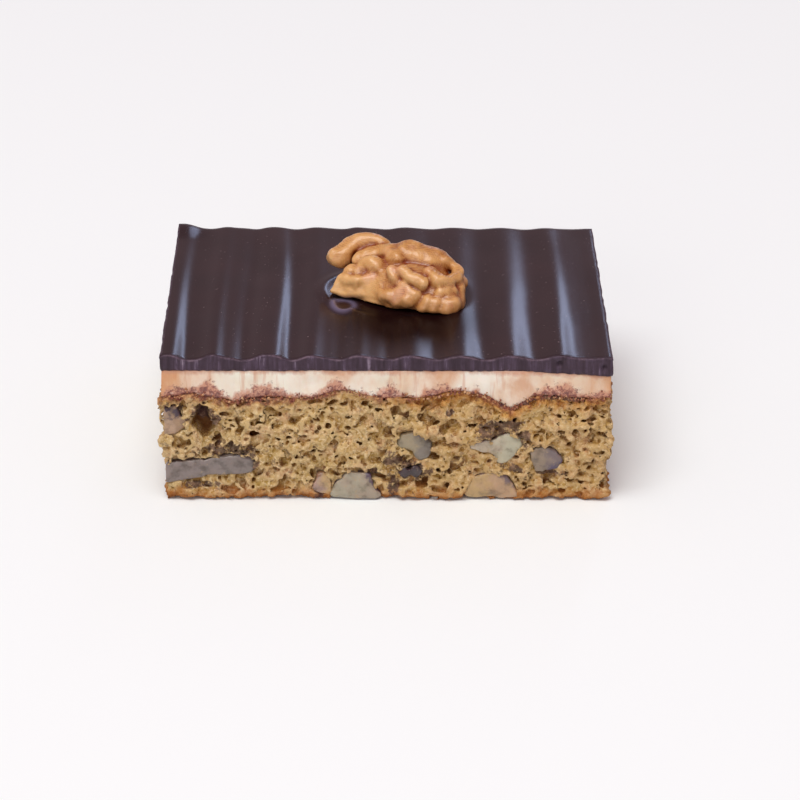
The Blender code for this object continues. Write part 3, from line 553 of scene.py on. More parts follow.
def surface_net(field, lines):
    """Points and quads on the skin of a solid, drawn as a field that is negative inside it."""
    inside = field < 0.0
    nx, ny, nz = shape = np.array(field.shape) - 1
    corners = list(np.ndindex(2, 2, 2))
    count = sum(inside[i:i + nx, j:j + ny, k:k + nz].astype(np.int8) for i, j, k in corners)
    cells = np.argwhere((count > 0) & (count < 8))
    number = np.full(shape, -1, np.int32)
    number[tuple(cells.T)] = np.arange(len(cells))
    values = {corner: field[tuple((cells + corner).T)] for corner in corners}
    total = np.zeros((len(cells), 3), np.float32)
    crossings = np.zeros(len(cells), np.float32)
    for start in corners:
        for axis in np.flatnonzero(np.array(start) == 0):
            end = tuple(1 if i == axis else start[i] for i in range(3))
            low, high = values[start], values[end]
            crosses = (low < 0.0) != (high < 0.0)
            place = np.tile(np.array(start, np.float32), (len(cells), 1))
            place[:, axis] = np.where(crosses, low / np.where(crosses, low - high, 1.0), 0.0)
            total += place * crosses[:, None]
            crossings += crosses
    place = cells + total / crossings[:, None]
    points = np.stack([np.interp(place[:, axis], np.arange(len(line)), line)
                       for axis, line in enumerate(lines)], axis=1)
    quads = []
    for axis in range(3):
        here = np.take(inside, range(inside.shape[axis] - 1), axis=axis)
        there = np.take(inside, range(1, inside.shape[axis]), axis=axis)
        spots = np.argwhere(here != there)
        one, two = (axis + 1) % 3, (axis + 2) % 3
        keep = (spots[:, one] > 0) & (spots[:, two] > 0)
        spots = spots[keep & (spots[:, one] < shape[one]) & (spots[:, two] < shape[two])]
        ring = []
        for step_one, step_two in ((-1, -1), (0, -1), (0, 0), (-1, 0)):
            cell = spots.copy()
            cell[:, one] += step_one
            cell[:, two] += step_two
            ring.append(number[tuple(cell.T)])
        ring = np.stack(ring, axis=1)
        outward = here[tuple(spots.T)]
        quads.append(np.where(outward[:, None], ring, ring[:, ::-1]))
    return points, np.vstack(quads), cells


def largest_body(points, quads, cells):
    """Keep the one largest connected body; loose crumbs and sealed bubbles go."""
    label = np.arange(len(points))
    before = None
    while not np.array_equal(before, label):
        before = label.copy()
        for corner in range(3):
            one, two = quads[:, corner], quads[:, corner + 1]
            lowest = np.minimum(label[one], label[two])
            np.minimum.at(label, one, lowest)
            np.minimum.at(label, two, lowest)
        label = label[label]
    keep = label == np.bincount(label).argmax()
    renumber = np.cumsum(keep) - 1
    return points[keep], renumber[quads[keep[quads[:, 0]]]], cells[keep]


def blurred(values, reach):
    """A grid of values averaged over a box of reach cells each way."""
    result = values.astype(np.float32)
    width = 2 * reach + 1
    for axis in range(3):
        padded = np.pad(result, [(reach + 1, reach) if i == axis else (0, 0) for i in range(3)], mode="edge")
        run = np.cumsum(padded, axis=axis, dtype=np.float64)
        upper = np.take(run, range(width, run.shape[axis]), axis=axis)
        lower = np.take(run, range(run.shape[axis] - width), axis=axis)
        result = ((upper - lower) / width).astype(np.float32)
    return result


def stain_at(along, height, stains):
    """How strongly stains lie at places of a cut face, 0 to 1."""
    total = np.zeros(len(along))
    for middle, level, half_length, half_height, tilt in stains:
        cosine, sine = math.cos(math.radians(tilt)), math.sin(math.radians(tilt))
        beside, above = along - middle, height - level
        reach = np.hypot((beside * cosine + above * sine) / half_length,
                         (above * cosine - beside * sine) / half_height)
        total = np.maximum(total, smooth_step((1.35 - reach) / 0.7))
    return total


points, quads, cells = largest_body(*surface_net(field, lines))
solid = field < 0.0
stains = {"front": list(FRONT_STAINS), "right": [], "back": [], "left": []}
for face, outline in sockets:
    if face != "front":
        low, high = outline.min(axis=0), outline.max(axis=0)
        middle = low[0] * 0.7 + high[0] * 0.3
        stains[face].append((middle, high[1] + 0.7, (high[0] - low[0]) * 0.4, 1.3, 5.0))
stain = np.zeros(len(points))
for face in FACE_LENGTHS:
    along, inward = on_face(face, points[:, 0], points[:, 1])
    stain = np.maximum(stain, stain_at(along, points[:, 2], stains[face]) * (inward < 4.0))
# Painted light and shade follow how enclosed each point is, over a small and a wider reach, and how deep it
# lies from the sides.
marks = {"painted_crumb_shading": blurred(solid, 2)[tuple(cells.T)],
         "hollow": blurred(solid, 6)[tuple(cells.T)],
         "depth": np.minimum(WIDTH / 2 - np.abs(points[:, 0]), DEPTH / 2 - np.abs(points[:, 1])),
         "from_top": sponge_top(points[:, 0], points[:, 1]) - points[:, 2],
         "rise": points[:, 2],
         "stain": stain,
         "golden": 0.35 + 0.65 * smooth_step((points[:, 0] + 4.0) / 14.0)}


def crumb_material():
    """Walnut crumb with baked crusts: painted highlight makes its torn edges pale straw, and painted shade
    makes its pores brown.
    """
    crumb = Finish("walnut_crumb", 0.85)
    crumb.body = crumb.ramp(crumb.noise(300.0, 5.0, 0.65),
                            (0.3, (156, 121, 62)), (0.5, (186, 149, 86)), (0.68, (210, 176, 120)))
    # Pinker and glassier patches, dark specks and pale grains.
    crumb.lay((204, 156, 122), crumb.noise(230.0), 0.5, 0.62, 0.6)
    crumb.lay((180, 148, 78), crumb.noise(210.0, 4.0, 0.6), 0.52, 0.62, 0.7)
    crumb.lay((130, 94, 50), crumb.noise(1400.0, 2.0), 0.58, 0.68, 0.8)
    crumb.lay((232, 208, 164), crumb.noise(1300.0, 2.0, 0.6), 0.54, 0.63, 0.75)
    # Painted highlight on the torn edges, and a warmer right-hand end.
    crumb.lay((228, 202, 154), crumb.mark("painted_crumb_shading"), 0.5, 0.3, 0.5)
    crumb.lay((178, 120, 48), crumb.mark("golden"), 0.35, 1.0, 0.16)
    # Painted shade: brown in the pores, darker in the hollows and deep in the block.
    crumb.lay((112, 66, 12), crumb.mark("painted_crumb_shading"), 0.52, 0.8, 0.92)
    crumb.lay((92, 52, 10), crumb.mark("hollow"), 0.56, 0.8, 0.85)
    crumb.lay((104, 62, 28), crumb.mark("depth"), 1.4, 3.4, 0.9)
    # The base crust, browner at its edge.
    wander = (1.3, 380.0, 4.0, 0.6)
    from_base = crumb.ragged("rise", *wander)
    crumb.lay((170, 104, 44), from_base, 3.2, 0.9, 0.85)
    crumb.lay((122, 64, 20), from_base, 1.2, -0.2, 0.7)
    # The toasted band under the cream, most golden at the right, and crumb rubbed along its edge.
    from_top = crumb.ragged("from_top", *wander)
    toasted = crumb.ramp(crumb.noise(800.0, 4.0, 0.7),
                         (0.38, (138, 78, 32)), (0.5, (190, 126, 54)), (0.62, (226, 174, 100)))
    browned = crumb.steps(from_top, 3.3, 1.3, 0.0, 0.9)
    crumb.lay(toasted, crumb.join("MULTIPLY", browned, crumb.mark("golden")))
    rubbed = crumb.ramp(crumb.noise(1000.0, 3.0, 0.7),
                        (0.4, (92, 44, 46)), (0.5, (140, 78, 58)), (0.62, (200, 148, 104)))
    baked = crumb.steps(crumb.noise(110.0, 3.0, 0.6), 0.4, 0.6, 0.25, 1.0)
    crumb.lay(rubbed, crumb.join("MULTIPLY", crumb.steps(from_top, 1.6, 0.5), baked))
    # Walnut skin rubbed in.
    torn = crumb.steps(crumb.noise(520.0, 5.0, 0.7), 0.36, 0.64, -0.75, 0.75)
    skins = crumb.ramp(crumb.noise(700.0, 4.0, 0.7),
                       (0.4, (52, 34, 38)), (0.52, (84, 60, 58)), (0.64, (140, 110, 92)))
    crumb.lay(skins, crumb.join("ADD", crumb.mark("stain"), torn), 0.45, 0.95, 0.85)
    crumb.shader.inputs["Specular IOR Level"].default_value = 0.2
    crumb.soften(0.08, 0.8, 0.5, 0.3)
    coarse = crumb.join("MULTIPLY", crumb.noise(900.0, 2.0), 1.2)
    return crumb.done(crumb.join("ADD", crumb.noise(1900.0, 4.0, 0.7), coarse), 0.34)


def open_loops(quads):
    """The closed rims round a net's openings, each a list of points in order."""
    starts = quads.ravel()
    ends = np.roll(quads, -1, axis=1).ravel()
    size = int(quads.max()) + 1
    lonely = ~np.isin(starts * size + ends, ends * size + starts)
    onward = dict(zip(ends[lonely].tolist(), starts[lonely].tolist()))
    loops = []
    while onward:
        place = next(iter(onward))
        loop = []
        while place in onward:
            loop.append(place)
            place = onward.pop(place)
        loops.append(loop)
    return loops


middles = points[quads].mean(axis=1)
plain = (np.abs(middles[:, 0]) < WIDTH / 2 - PLAIN_INSET) & (np.abs(middles[:, 1]) < DEPTH / 2 - PLAIN_INSET)
plain &= (middles[:, 2] < 0.4) | (middles[:, 2] > SPONGE_TOP - 2.2)
kept, (x, y, _) = quads[~plain], middles[~plain].T
sponge_parts = []
for number, (left, right, near, far) in enumerate(SLABS):
    chosen = kept[(x >= left) & (x < right) & (y >= near) & (y < far)]
    used, part = np.unique(chosen, return_inverse=True)
    sponge_parts.append(mesh_object("sponge_slab_%d" % (number + 1), points[used], part.reshape(-1, 4),
                                    {mark: values[used] for mark, values in marks.items()}))
rims = [loop for loop in open_loops(kept) if len(loop) > 400]
starts = np.cumsum([0] + [len(loop) for loop in rims])
sponge_parts.append(mesh_object("sponge_plain_faces", points[np.concatenate(rims)],
                                [tuple(range(start, end)) for start, end in zip(starts, starts[1:])], {}))
crumb_finish = crumb_material()
for part in sponge_parts:
    part.data.materials.append(crumb_finish)
    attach(part, "root")
    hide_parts("sponge")


# ---- Cream ----
# A thick layer of cream spread over the baked sponge and dragged a little by the knife.
# It fills the sponge's hollows, and crumb is smeared into its lower edge.

CREAM_TOP = 30.6
# Space between points round the cream's sides, and the number of rows up them.
CREAM_STEP = 0.4
CREAM_ROWS = 18
# Crumb dragged up the front face: (along, half width, height).
FRONT_SMEARS = ((-45.0, 3.0, 1.8), (-37.6, 4.2, 2.8), (-26.5, 5.4, 2.7), (-11.4, 2.8, 2.3), (0.8, 3.0, 2.6),
                (10.5, 3.0, 1.6), (19.0, 2.0, 0.6), (37.0, 5.5, 2.3), (46.0, 2.5, 1.6))
# Places where the front of the cream is whitest: (along, half width).
FRONT_WHITES = ((-38.5, 5.0), (-17.0, 5.0), (-6.0, 4.0), (8.0, 3.0), (18.5, 6.0), (26.4, 6.0))


def walk_round(step_x, step_y):
    """Places round the cut rectangle, each with its outward direction, anticlockwise."""
    across, deep = round(WIDTH / step_x), round(DEPTH / step_y)
    u, v = np.arange(across) / across - 0.5, np.arange(deep) / deep - 0.5
    half_u, half_v = np.full(across, 0.5), np.full(deep, 0.5)
    sides = ((u, -half_u), (half_v, v), (-u, half_u), (-half_v, -v))
    run = np.concatenate([np.stack(side, axis=1) for side in sides])
    outward = np.where(np.abs(run) > 0.4999, np.sign(run), 0.0)
    return run * (WIDTH, DEPTH), outward


def lid_underside(x, y):
    """Where the cream meets the lid; it sinks towards the right-hand end."""
    toward_front = 0.5 + 0.5 * smooth_step(0.5 - y / DEPTH)
    waves = 0.12 * np.sin(x / 3.1 + 0.7 * np.sin(x / 7.3)) * np.sin(y / 5.0 + 1.0)
    return CREAM_TOP - 1.0 * smooth_step((x - 27.0) / 20.0) * toward_front + waves


def inner_ring(places, share, surface, sink=0.0):
    """A ring inside the walk round the slice, lying on a surface or a little below it."""
    ring = places * share
    return np.column_stack((ring, surface(*ring.T) - sink))


def edge_ring(places, outward, level, stand):
    """A ring round the cut sides at a level, standing out by an amount."""
    return np.column_stack((places + outward * stand[:, None], level))


places, outward = walk_round(CREAM_STEP, CREAM_STEP)
ragged = lattice(np.column_stack((places, np.full(len(places), 2.0))), 1.2, 41)
under = sponge_top(*places.T) + 0.1 + 0.3 * ragged
over = lid_underside(*places.T) - 0.02
rings = [inner_ring(places, 0.72, sponge_top, 0.2), inner_ring(places, 0.9, sponge_top, 0.2)]
for share in np.arange(CREAM_ROWS + 1) / CREAM_ROWS:
    level = under * (1.0 - share) + over * share
    spot = np.column_stack((places, level))
    drag = lattice(spot, (0.9, 0.9, 7.0), 42)
    soft = lattice(spot, (4.0, 4.0, 2.5), 43)
    edge = 0.12 * smooth_step(1.0 - share / 0.12) + 0.12 * smooth_step((share - 0.93) / 0.07)
    rings.append(edge_ring(places, outward, level, 0.06 * drag + 0.22 * soft - edge + 0.05))
rings.append(inner_ring(places, 0.9, lid_underside, 0.02))
cream_points = np.vstack(rings)
x, y, z = cream_points.T
on_front = y < -DEPTH / 2 + 1.0
by_corner = np.hypot(WIDTH / 2 - np.abs(x), DEPTH / 2 - np.abs(y))
at_edge = np.column_stack((x, y, np.zeros(len(x))))
dragged = 1.5 * np.abs(lattice(at_edge, 5.0, 44)) + 0.8 * lattice(at_edge, 1.6, 45)
mounds = np.max([high * np.clip(1.25 - np.abs(x - along) / wide, 0.0, 1.0)
                 for along, wide, high in FRONT_SMEARS], axis=0)
whites = np.max([smooth_step(1.3 - np.abs(x - along) / wide) for along, wide in FRONT_WHITES], axis=0)
clean = 0.9 * np.clip(1.0 - np.abs(x - NOTCH_PLACE) / 6.0, 0.0, 1.0)
smears = np.where(on_front, mounds + 0.4 * dragged - 0.3 - clean, dragged)
marks = {"smear": z - sponge_top(x, y) - smears,
         "below_lid": lid_underside(x, y) - z,
         "end": smooth_step(1.0 - by_corner / 10.0) * np.where(x > 0.0, 0.9, 1.0),
         "whites": whites * on_front}
cream = mesh_object("cream_layer", cream_points, closed_loft(len(rings), len(places)), marks)


def cream_material():
    """Ivory cream with peach knife smears and brown crumb dragged into its lower edge."""
    cream = Finish("cream_spread", 0.42)
    clouds = cream.noise(100.0, 5.0, 0.55, (1.0, 1.0, 0.7))
    cream.body = cream.ramp(clouds, (0.34, (212, 164, 128)), (0.44, (226, 194, 164)),
                            (0.53, (230, 215, 192)), (0.66, (238, 232, 216)))
    clear = cream.steps(clouds, 0.36, 0.54, 0.1, 0.8)
    cream.lay((239, 232, 218), cream.join("MULTIPLY", cream.mark("whites"), clear))
    # Peach ends and upright knife streaks.
    drawn = cream.steps(cream.noise(330.0, 4.0, 0.6, (1.0, 1.0, 0.3)), 0.36, 0.62, 0.6, 1.15)
    cream.lay((208, 150, 102), cream.join("MULTIPLY", cream.mark("end"), drawn))
    cream.lay((204, 140, 100), cream.noise(480.0, 3.0, 0.6, (1.0, 1.0, 0.1)), 0.58, 0.7, 0.6)
    # Pink smears with brown and pale crumb in them.
    ragged = cream.steps(cream.noise(420.0, 5.0, 0.65, (1.0, 1.0, 0.6)), 0.3, 0.7, -1.2, 1.2)
    pink = cream.steps(cream.join("ADD", cream.mark("smear"), ragged), 0.9, -0.2, 0.0, 0.85)
    cream.lay((198, 138, 110), pink)
    grains = cream.steps(cream.noise(900.0, 4.0, 0.75), 0.38, 0.62, -1.4, 1.4)
    dragged_crumb = cream.ramp(cream.noise(1000.0, 3.0, 0.7),
                               (0.4, (96, 48, 52)), (0.5, (142, 84, 72)), (0.62, (204, 150, 124)))
    cream.lay(dragged_crumb, cream.join("ADD", cream.mark("smear"), grains), 0.35, -0.6, 0.85)
    pale = cream.steps(cream.noise(760.0, 3.0, 0.6), 0.58, 0.66, 0.0, 0.7)
    cream.lay((228, 190, 168), cream.join("MULTIPLY", pale, pink))
    # A faint brown line under the lid.
    upper = cream.join("ADD", cream.mark("below_lid"), cream.join("MULTIPLY", ragged, 0.5))
    cream.lay((196, 140, 112), upper, 1.0, 0.0, 0.8)
    cream.soften(0.25, 1.4, 0.9, 0.6)
    return cream.done(cream.noise(600.0, 4.0, 0.6, (1.0, 1.0, 0.25)), 0.25)


cream.data.materials.append(cream_material())
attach(cream, "root")
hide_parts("cream")


# ---- Loose crumbs ----
# Small crumbs that the knife dragged up off the sponge and left sticking in the cream's lower
# edge and along the crusts.

CRUMBS_PER_FACE = {"front": 460, "right": 340, "back": 460, "left": 340}
# A crumb is a small lumpy ball of so many rings, each with so many sides.
CRUMB_RINGS = 4
CRUMB_SIDES = 6

turns = 2.0 * math.pi * np.arange(CRUMB_SIDES) / CRUMB_SIDES
tilts = math.pi * (np.arange(CRUMB_RINGS) + 0.5) / CRUMB_RINGS
ball = np.array([(math.sin(tilt) * math.cos(turn), math.sin(tilt) * math.sin(turn), -math.cos(tilt))
                 for tilt in tilts for turn in turns])
draw = np.random.default_rng(19)
crumb_points, shades = [], []
for face, amount in CRUMBS_PER_FACE.items():
    for _ in range(amount):
        along = draw.uniform(-0.5, 0.5) * FACE_LENGTHS[face]
        radius = draw.uniform(0.1, 0.27)
        spot = face_to_slice(face, along, 0.0, 0.0)
        level = sponge_top(spot[0], spot[1]) + draw.exponential(0.36) - 0.4
        if level > CREAM_TOP - 1.0:
            continue
        sizes = radius * draw.uniform(0.7, 1.3, 3)
        centre = face_to_slice(face, along, draw.uniform(-0.3, 0.05), level)
        lumpy = ball * (1.0 + 0.8 * lattice(ball + 7.0 * len(shades), 0.8, 81))[:, None]
        crumb_points.append(centre + lumpy * sizes)
        shades.append(draw.uniform(0.0, 1.0))
crumb_faces = [tuple(corner + number * len(ball) for corner in corners)
               for number in range(len(shades)) for corners in closed_loft(CRUMB_RINGS, CRUMB_SIDES)]
crumbs = mesh_object("loose_crumbs", np.vstack(crumb_points), crumb_faces,
                     {"shade": np.repeat(shades, len(ball))})


def loose_crumb():
    """Crumbs of sponge and crust, from straw to dark brown."""
    crumb = Finish("loose_crumb", 0.85)
    crumb.body = crumb.ramp(crumb.mark("shade"), (0.0, (122, 68, 58)), (0.45, (150, 92, 70)),
                            (0.75, (180, 124, 84)), (1.0, (212, 170, 128)))
    return crumb.done(crumb.noise(2000.0), 0.15)


crumbs.data.materials.append(loose_crumb())
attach(crumbs, "root")
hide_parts("sponge")


# ---- Chocolate lid ----
# Dark chocolate poured over the cream and combed from front to back before it set.
# Its top is glossy; the knife left the cut edge dull, with upright scratches and a thin burr.

CHOCOLATE_TOP = 34.0
RIDGE_PITCH = 10.5
RIDGE_DEPTH = 0.9
FIRST_TROUGH = -41.8
# How steep each ridge's right-hand side is: (place in mm, steepness from -1 to 1).
RIDGE_LEANS = ((-46.0, 0.35), (-42.5, 0.35), (-40.0, 0.0), (-34.0, -0.8), (-29.0, -0.6), (-22.5, 0.15),
               (-17.0, -0.2), (-12.0, -0.6), (-3.0, -0.7), (4.0, -0.4), (8.6, -0.2), (14.0, -0.1),
               (19.0, -0.1), (29.5, -0.1), (36.0, -0.1), (41.0, -0.7))
# Where the nut lies, and the flat bed that it pressed into the chocolate.
NUT_PLACE = (3.0, -1.3)
NUT_TURN = math.radians(-13.0)
BED_DEPTH = 0.55
BED_LENGTH = 15.0
BED_BREADTH = 12.5
# A small ring beside the nut, left by a drop of fat.
RING_PLACE = (-9.3, -8.0)
RING_SIZE = (2.3, 3.1)
# Air bubbles that the knife opened: (place in mm, radius).
BUBBLES = (((36.5, -DEPTH / 2, 32.4), 0.55), ((46.0, -DEPTH / 2, 31.6), 0.45),
           ((-21.0, DEPTH / 2, 32.2), 0.5))
# Points along and across the lid's top, and rows up its cut edge.
LID_COLUMNS = 280
LID_ROWS = 130
EDGE_ROWS = 12


def ring_reach(x, y):
    """How far places lie from the middle of the ring by the nut, 1 on its crest."""
    return np.hypot((x - RING_PLACE[0]) / RING_SIZE[0], (y - RING_PLACE[1]) / RING_SIZE[1])


def bump_at(value, middle, half_width):
    """1 where a value meets its middle, fading on both sides."""
    return np.exp(-(((value - middle) / half_width) ** 2))


def lid_top(x, y):
    """Height of the chocolate: comb ridges, fading at the right-hand end, and the nut's bed."""
    drift = 0.5 * np.sin(x / 13.0 + 1.0) + 0.3 * np.sin(y / 15.0 + x / 9.0)
    drift = drift - 1.3 * bump_at(x, -23.0, 5.0) * smooth_step(0.8 - y / DEPTH)
    phase = 2.0 * math.pi * (x + drift - FIRST_TROUGH) / RIDGE_PITCH
    phase = phase + 0.8 * np.interp(x, *zip(*RIDGE_LEANS)) * np.cos(phase)
    strength = (1.0 - 0.75 * smooth_step((x - 38.0) / 6.0)) * (0.72 - 0.28 * y / (DEPTH / 2))
    strength = strength * (1.0 + 0.4 * smooth_step((-14.0 - x) / 10.0))
    ridge = -0.5 * RIDGE_DEPTH * np.cos(phase) * strength
    ridge = ridge + 0.4 * bump_at(ring_reach(x, y), 1.0, 0.28) - 0.15 * bump_at(ring_reach(x, y), 0.0, 0.7)
    cosine, sine = math.cos(NUT_TURN), math.sin(NUT_TURN)
    beside, behind = x - NUT_PLACE[0], y - NUT_PLACE[1]
    along = beside * cosine + behind * sine
    reach = np.hypot(along / BED_LENGTH, (behind * cosine - beside * sine) / BED_BREADTH)
    in_bed = 1.0 - smooth_step((reach - 0.85) / 0.3)
    corner_lip = 0.8 * smooth_step(1.0 - np.hypot(x + WIDTH / 2, y - DEPTH / 2) / 8.0)
    nut_lip = 0.4 * bump_at(reach, 1.12, 0.1) * smooth_step(-along / 9.0 - 0.5)
    open_lid = CHOCOLATE_TOP - 0.25 + ridge
    return open_lid * (1.0 - in_bed) + (CHOCOLATE_TOP - BED_DEPTH) * in_bed + corner_lip + nut_lip


def side_wobble(outward, spots):
    """How far the lid's sides stand out, rougher on the left and right than front and back."""
    return (0.08 + 0.12 * np.abs(outward[:, 0])) * lattice(spots, 2.3, 51)


v, u = np.meshgrid(np.arange(LID_ROWS + 1) / LID_ROWS - 0.5, np.arange(LID_COLUMNS + 1) / LID_COLUMNS - 0.5,
                   indexing="ij")
run = np.stack((u.ravel(), v.ravel()), axis=1)
flat = run * (WIDTH, DEPTH)
out = np.where(np.abs(run) > 0.4999, np.sign(run), 0.0)
at_rim = np.abs(out).max(axis=1)
uneven = lattice(np.column_stack((flat, np.zeros(len(flat)))), (7.0, 11.0, 1.0), 54)
top_level = lid_top(*flat.T) + 0.07 * uneven - 0.12 * at_rim
top_stand = 0.22 + side_wobble(out, np.column_stack((flat, top_level)))
top_points = np.column_stack((flat + out * top_stand[:, None], top_level))
index = np.arange(len(flat)).reshape(LID_ROWS + 1, LID_COLUMNS + 1)
top_quads = np.stack((index[:-1, :-1], index[:-1, 1:], index[1:, 1:], index[1:, :-1]), axis=-1)
rim_index = np.concatenate((index[0, :-1], index[:-1, -1], index[-1, :0:-1], index[:0:-1, 0])).tolist()

places, outward = walk_round(WIDTH / LID_COLUMNS, DEPTH / LID_ROWS)
bottom = lid_underside(*places.T)
to_corner = np.hypot(places[:, 0] - WIDTH / 2, places[:, 1] + DEPTH / 2)
ragged_foot = lattice(np.column_stack((places, np.ones(len(places)))), 0.9, 55)
rings = [inner_ring(places, 0.8, lid_underside), inner_ring(places, 0.95, lid_underside)]
for share in np.arange(EDGE_ROWS) / EDGE_ROWS:
    level = bottom * (1.0 - share) + (lid_top(*places.T) - 0.12) * share - 0.15 * ragged_foot * (1.0 - share)
    spot = np.column_stack((places, level))
    scratches = lattice(spot, (0.45, 0.45, 6.0), 52)
    bulge = 0.5 * smooth_step(1.0 - to_corner / 9.0) * (1.0 - share)
    lower_edge = -0.25 * smooth_step(1.0 - share / 0.15)
    burr = 0.12 * smooth_step((share - 0.85) / 0.1)
    stand = 0.2 + 0.05 * scratches + side_wobble(outward, spot) + bulge + lower_edge + burr
    for bubble, radius in BUBBLES:
        stand = stand - 0.9 * bump_at(np.linalg.norm(spot - bubble, axis=1), 0.0, radius)
    rings.append(edge_ring(places, outward, level, stand))
rim, offset = len(places), len(top_points)
last = offset + (len(rings) - 1) * rim
lid_faces = top_quads.reshape(-1, 4).tolist() + loft_faces(len(rings), rim, offset)
lid_faces += [(last + i, last + (i + 1) % rim, rim_index[(i + 1) % rim], rim_index[i]) for i in range(rim)]
lid_points = np.vstack([top_points] + rings)
x, y, z = lid_points.T
cut = np.concatenate((at_rim, np.ones(len(lid_points) - offset)))
# Painted shade on the top in front of the nut, and a painted highlight along the ring's crest.
from_nut = np.hypot((x - 4.0) / 15.0, (y + 16.0) / 15.0)
marks = {"cut": cut,
         "painted_shade_and_dull": smooth_step(1.5 - from_nut) * smooth_step((ring_reach(x, y) - 1.2) / 0.6) * (1.0 - cut),
         "burr": smooth_step((z - lid_top(x, y) + 0.5) / 0.35) * cut,
         "painted_ring_highlight": bump_at(ring_reach(x, y), 1.0, 0.28) * (1.0 - cut)}
lid = mesh_object("chocolate_lid", lid_points, lid_faces, marks)


def chocolate_material():
    """Set dark chocolate: glossy where it flowed, dull and scratched where it was cut."""
    lid = Finish("dark_chocolate_lid", 0.25)
    clouds = lid.noise(60.0)
    lid.body = lid.ramp(clouds, (0.3, (29, 12, 12)), (0.7, (40, 20, 20)))
    lid.lay((150, 130, 130), lid.noise(1600.0, 1.0), 0.75, 0.775, 0.4)
    # Painted shade in front of the nut, where its shadow and dark reflection fall, and a painted pale
    # highlight on the ring's crest.
    lid.lay((21, 7, 7), lid.mark("painted_shade_and_dull"), most=0.75)
    # A painted pale highlight along the ring's crest, patchy with the clouds.
    painted_ring_highlight = lid.join("MULTIPLY", lid.mark("painted_ring_highlight"), lid.steps(clouds, 0.4, 0.62, 0.25, 0.8))
    lid.lay((112, 102, 128), painted_ring_highlight)
    flowed = lid.body
    # The cut edge: upright scratches, dark chips and a pale burr along its top.
    scratches = lid.noise(900.0, 3.0, 0.6, (1.0, 1.0, 0.08))
    lid.body = lid.ramp(scratches, (0.32, (36, 24, 33)), (0.5, (56, 43, 55)), (0.62, (74, 60, 77)),
                        (0.74, (146, 130, 146)))
    lid.lay((38, 24, 34), lid.noise(1000.0, 4.0, 0.7), 0.5, 0.3, 0.6)
    chips = lid.steps(lid.noise(700.0, 3.0, 0.7), 0.42, 0.66)
    lid.lay((110, 90, 102), lid.join("MULTIPLY", lid.mark("burr"), chips))
    edge = lid.mark("cut")
    lid.body = lid.mix(edge, flowed, lid.body)
    lid.feed(lid.shader.inputs["Roughness"], lid.steps(edge, 0.0, 1.0, 0.23, 0.6))
    # The gloss is lowered too in the painted shade in front of the nut.
    lid.feed(lid.shader.inputs["Specular IOR Level"], lid.steps(lid.mark("painted_shade_and_dull"), 0.0, 1.0, 0.5, 0.03))
    lid.shader.inputs["Specular Tint"].default_value = (1.0, 0.78, 0.88, 1.0)
    waves = lid.join("MULTIPLY", lid.noise(90.0), 0.3)
    return lid.done(lid.join("ADD", lid.join("MULTIPLY", scratches, edge), waves), 0.12)


lid.data.materials.append(chocolate_material())
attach(lid, "root")
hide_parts("chocolate")


# ---- Half walnut ----
# A whole kernel half pressed onto the lid before it set, its split side down.
# Its skin is golden brown over rounded folds, with painted shade making the creases darker and pinker.

NUT_GRAIN = 0.25
# How far neighbouring folds run into each other.
CREASE_BLEND = 0.85
# Rounded masses under the folds: (middle, half sizes), in mm over the middle of the flat base.
NUT_MASSES = (
    ((1.6, -0.2, -0.6), (12.4, 8.8, 9.0)),
    ((1.4, 2.2, 5.4), (5.6, 3.8, 6.2)),
    ((5.8, 2.2, 5.0), (5.2, 3.8, 5.6)),
    ((3.2, -3.4, 3.2), (6.8, 4.8, 4.5)),
    ((-2.4, 1.8, 8.4), (2.4, 2.4, 2.4)),
    ((9.6, -3.8, -0.2), (6.2, 5.2, 5.2)),
    ((-7.0, 4.2, 4.0), (4.6, 4.2, 4.6)),
)
# The broken end is a squarish block: (middle, half sizes, rounding, turn, lean back).
NUT_BLOCK = ((-8.0, -3.8, 1.9), (5.8, 2.6, 2.4), 0.9, math.radians(-7.0), math.radians(26.0))
BLOCK_SLANT = 0.35
